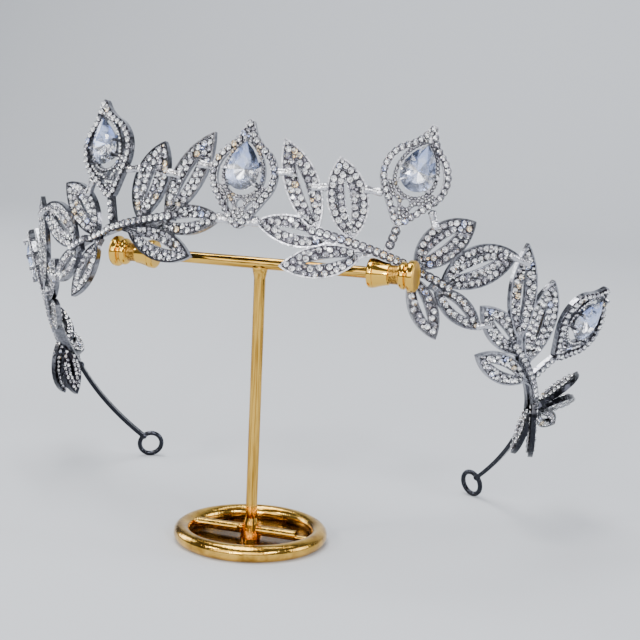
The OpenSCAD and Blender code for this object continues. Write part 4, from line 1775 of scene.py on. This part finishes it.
@dataclass(frozen=True)
class Studio:
    """Pale floor, soft lights and the camera of the photograph's view.

    The camera is given in degrees and millimetres, and the floor in metres.
    """

    azimuth: float = 18.51
    elevation: float = 9.47
    roll: float = 2.49
    distance: float = 450.3
    aim_height: float = 70.28
    aim_right: float = 18.77
    lens: float = 83.26
    paper: StudioPaper = StudioPaper()
    floor_half: float = 1.3
    floor_front: float = -1.15
    floor_back: float = 0.9
    bend_r: float = 0.5
    floor_top: float = 2.0
    room_light: str = "#b9bdc6"
    room_power: float = 0.3
    walls: str = "#cdd0d5"
    lights: tuple[SoftBox, ...] = (
        SoftBox("front", (0.1, -1.15, 0.5), (2.0, 0.6), 11.5, "#fffdfa"),
        SoftBox("top", (-0.15, -0.1, 1.25), (1.0, 0.5), 15.5),
        SoftBox("flash_left", (-0.75, -0.75, 0.75), (0.14, 0.14), 4.0, "#fff8ee"),
        SoftBox("flash_middle", (0.05, -1.0, 0.3), (0.1, 0.1), 3.0),
        SoftBox("flash_right", (0.85, -0.65, 0.6), (0.14, 0.14), 4.0, "#f6f8ff"),
        SoftBox("side_right", (1.15, 0.2, 0.4), (0.5, 0.5), 5.0, "#fbfbff"),
        SoftBox("side_left", (-1.1, 0.2, 0.45), (0.35, 0.6), 5.0),
        SoftBox("backdrop", (0.0, 0.35, 1.3), (1.8, 0.3), 12.0, target=(0.0, 1.4, 0.45)),
    )

    def camera(self) -> None:
        """Create the camera."""
        az = math.radians(self.azimuth)
        el = math.radians(self.elevation)
        tilt = math.radians(self.roll)
        back = Vector((math.sin(az) * math.cos(el), -math.cos(az) * math.cos(el), math.sin(el)))
        right = Vector((math.cos(az), math.sin(az), 0.0))
        up = back.cross(right)
        x = right * math.cos(tilt) + up * math.sin(tilt)
        y = up * math.cos(tilt) - right * math.sin(tilt)
        aim = Vector((0.0, 0.0, self.aim_height)) + right * self.aim_right
        data = bpy.data.cameras.new("photo_view")
        data.sensor_width = 36.0
        data.lens = self.lens
        data.clip_start = 0.01
        data.clip_end = 10.0
        camera = bpy.data.objects.new("photo_view", data)
        camera.matrix_world = axes_matrix(x, y, back, (aim + back * self.distance) * MM)
        bpy.context.scene.collection.objects.link(camera)
        bpy.context.scene.camera = camera

    def floor(self) -> None:
        """Lay the paper: a level floor that curves up far behind."""
        profile = [(self.floor_front, 0.0), (self.floor_back, 0.0)]
        r = self.bend_r
        for i in range(1, 13):
            a = math.radians(90 * i / 12)
            profile.append((self.floor_back + r * math.sin(a), r - r * math.cos(a)))
        profile.append((self.floor_back + r, self.floor_top))
        points = [(s * self.floor_half, y, z) for y, z in profile for s in (-1, 1)]
        faces = skin(len(profile), 2, closed=False)
        mesh = bpy.data.meshes.new("paper_floor")
        mesh.from_pydata(points, [], faces)
        mesh.polygons.foreach_set("use_smooth", [True] * len(faces))
        mesh.materials.append(self.paper.build())
        paper = bpy.data.objects.new("paper_floor", mesh)
        bpy.context.scene.collection.objects.link(paper)

    def room(self) -> None:
        """Fill the room with dim light, with pale walls where the paper ends."""
        world = bpy.data.worlds.new("studio")
        world.use_nodes = True
        tree = world.node_tree
        dim = tree.nodes["Background"]
        dim.inputs["Color"].default_value = linear(self.room_light)
        dim.inputs["Strength"].default_value = self.room_power
        walls = add_node(tree, "Background", values={"Color": linear(self.walls)})
        seen = add_node(tree, "LightPath").outputs["Is Camera Ray"]
        mixed = add_node(tree, "MixShader", {0: seen, 1: dim, 2: walls})
        join(tree, tree.nodes["World Output"], {"Surface": mixed})
        bpy.context.scene.world = world

    def build(self) -> None:
        """Build the floor, the lights, the room and the camera."""
        self.floor()
        for light in self.lights:
            light.build()
        self.room()
        self.camera()


def dress_nodes(nodes: dict[str, bpy.types.Object], finishes: dict[str, Material]) -> None:
    """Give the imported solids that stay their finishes.

    Args:
        nodes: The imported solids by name.
        finishes: The finish of each solid that stays.
    """
    for name, finish in finishes.items():
        mesh = nodes[name].data
        mesh.materials.clear()
        mesh.materials.append(finish)
        LOG.info("%s: %s", name, finish.name)


def main() -> None:
    """Build the dressed tiara and its stand in order."""
    logging.basicConfig(level=logging.INFO, format="%(message)s")
    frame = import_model()
    face = TiaraFace()
    plate = RhodiumPlatedZinc().build()
    solder = TinSolder().build()
    gold_rod = BrazedGold().build()
    gold_knob = TurnedGold().build()
    plating = [plate, PaintedRecessShade().build()]
    crystal = [CutCrystal().build(), SortedFoil().build()]
    pear_crystal = [
        CutCrystal("pear_crystal_clear", "#fdfdff", 1.5).build(),
        SilverFoil("white_foil", "#ffffff", "#f4f6fb", 0.2).build(),
        SilverFoil("pale_blue_foil", "#dae5ff", "#c0d2ff", 0.15).build(),
    ]
    dress_nodes(frame["nodes"], {"tiara_frame": plate, "stand": gold_rod})
    for half in Half:
        LeafSprays(half, face).build(crystal, plating)
        StemRows(half, face).build(crystal, plating)
        SolderedStruts(half, face).build(solder)
        TurnedKnob(half).build(gold_knob)
    inner = ((44.6, 10.4, 0.3), (44.0, 42.2, 0.3))
    outer = ((112.8, 11.2, 0.2), (107.4, 38.9, -0.4))
    drops = (
        PearDrop("centre", Half.RIGHT, face, (0.3, -2.5, 1.2), (0.3, 30.3, 1.2)),
        PearDrop("inner_right", Half.RIGHT, face, *inner),
        PearDrop("inner_left", Half.LEFT, face, *inner),
        PearDrop("outer_right", Half.RIGHT, face, *outer),
        PearDrop("outer_left", Half.LEFT, face, *outer),
    )
    for drop in drops:
        drop.build(crystal, pear_crystal, plating)
    Studio().build()


if __name__ == "__main__":
    main()
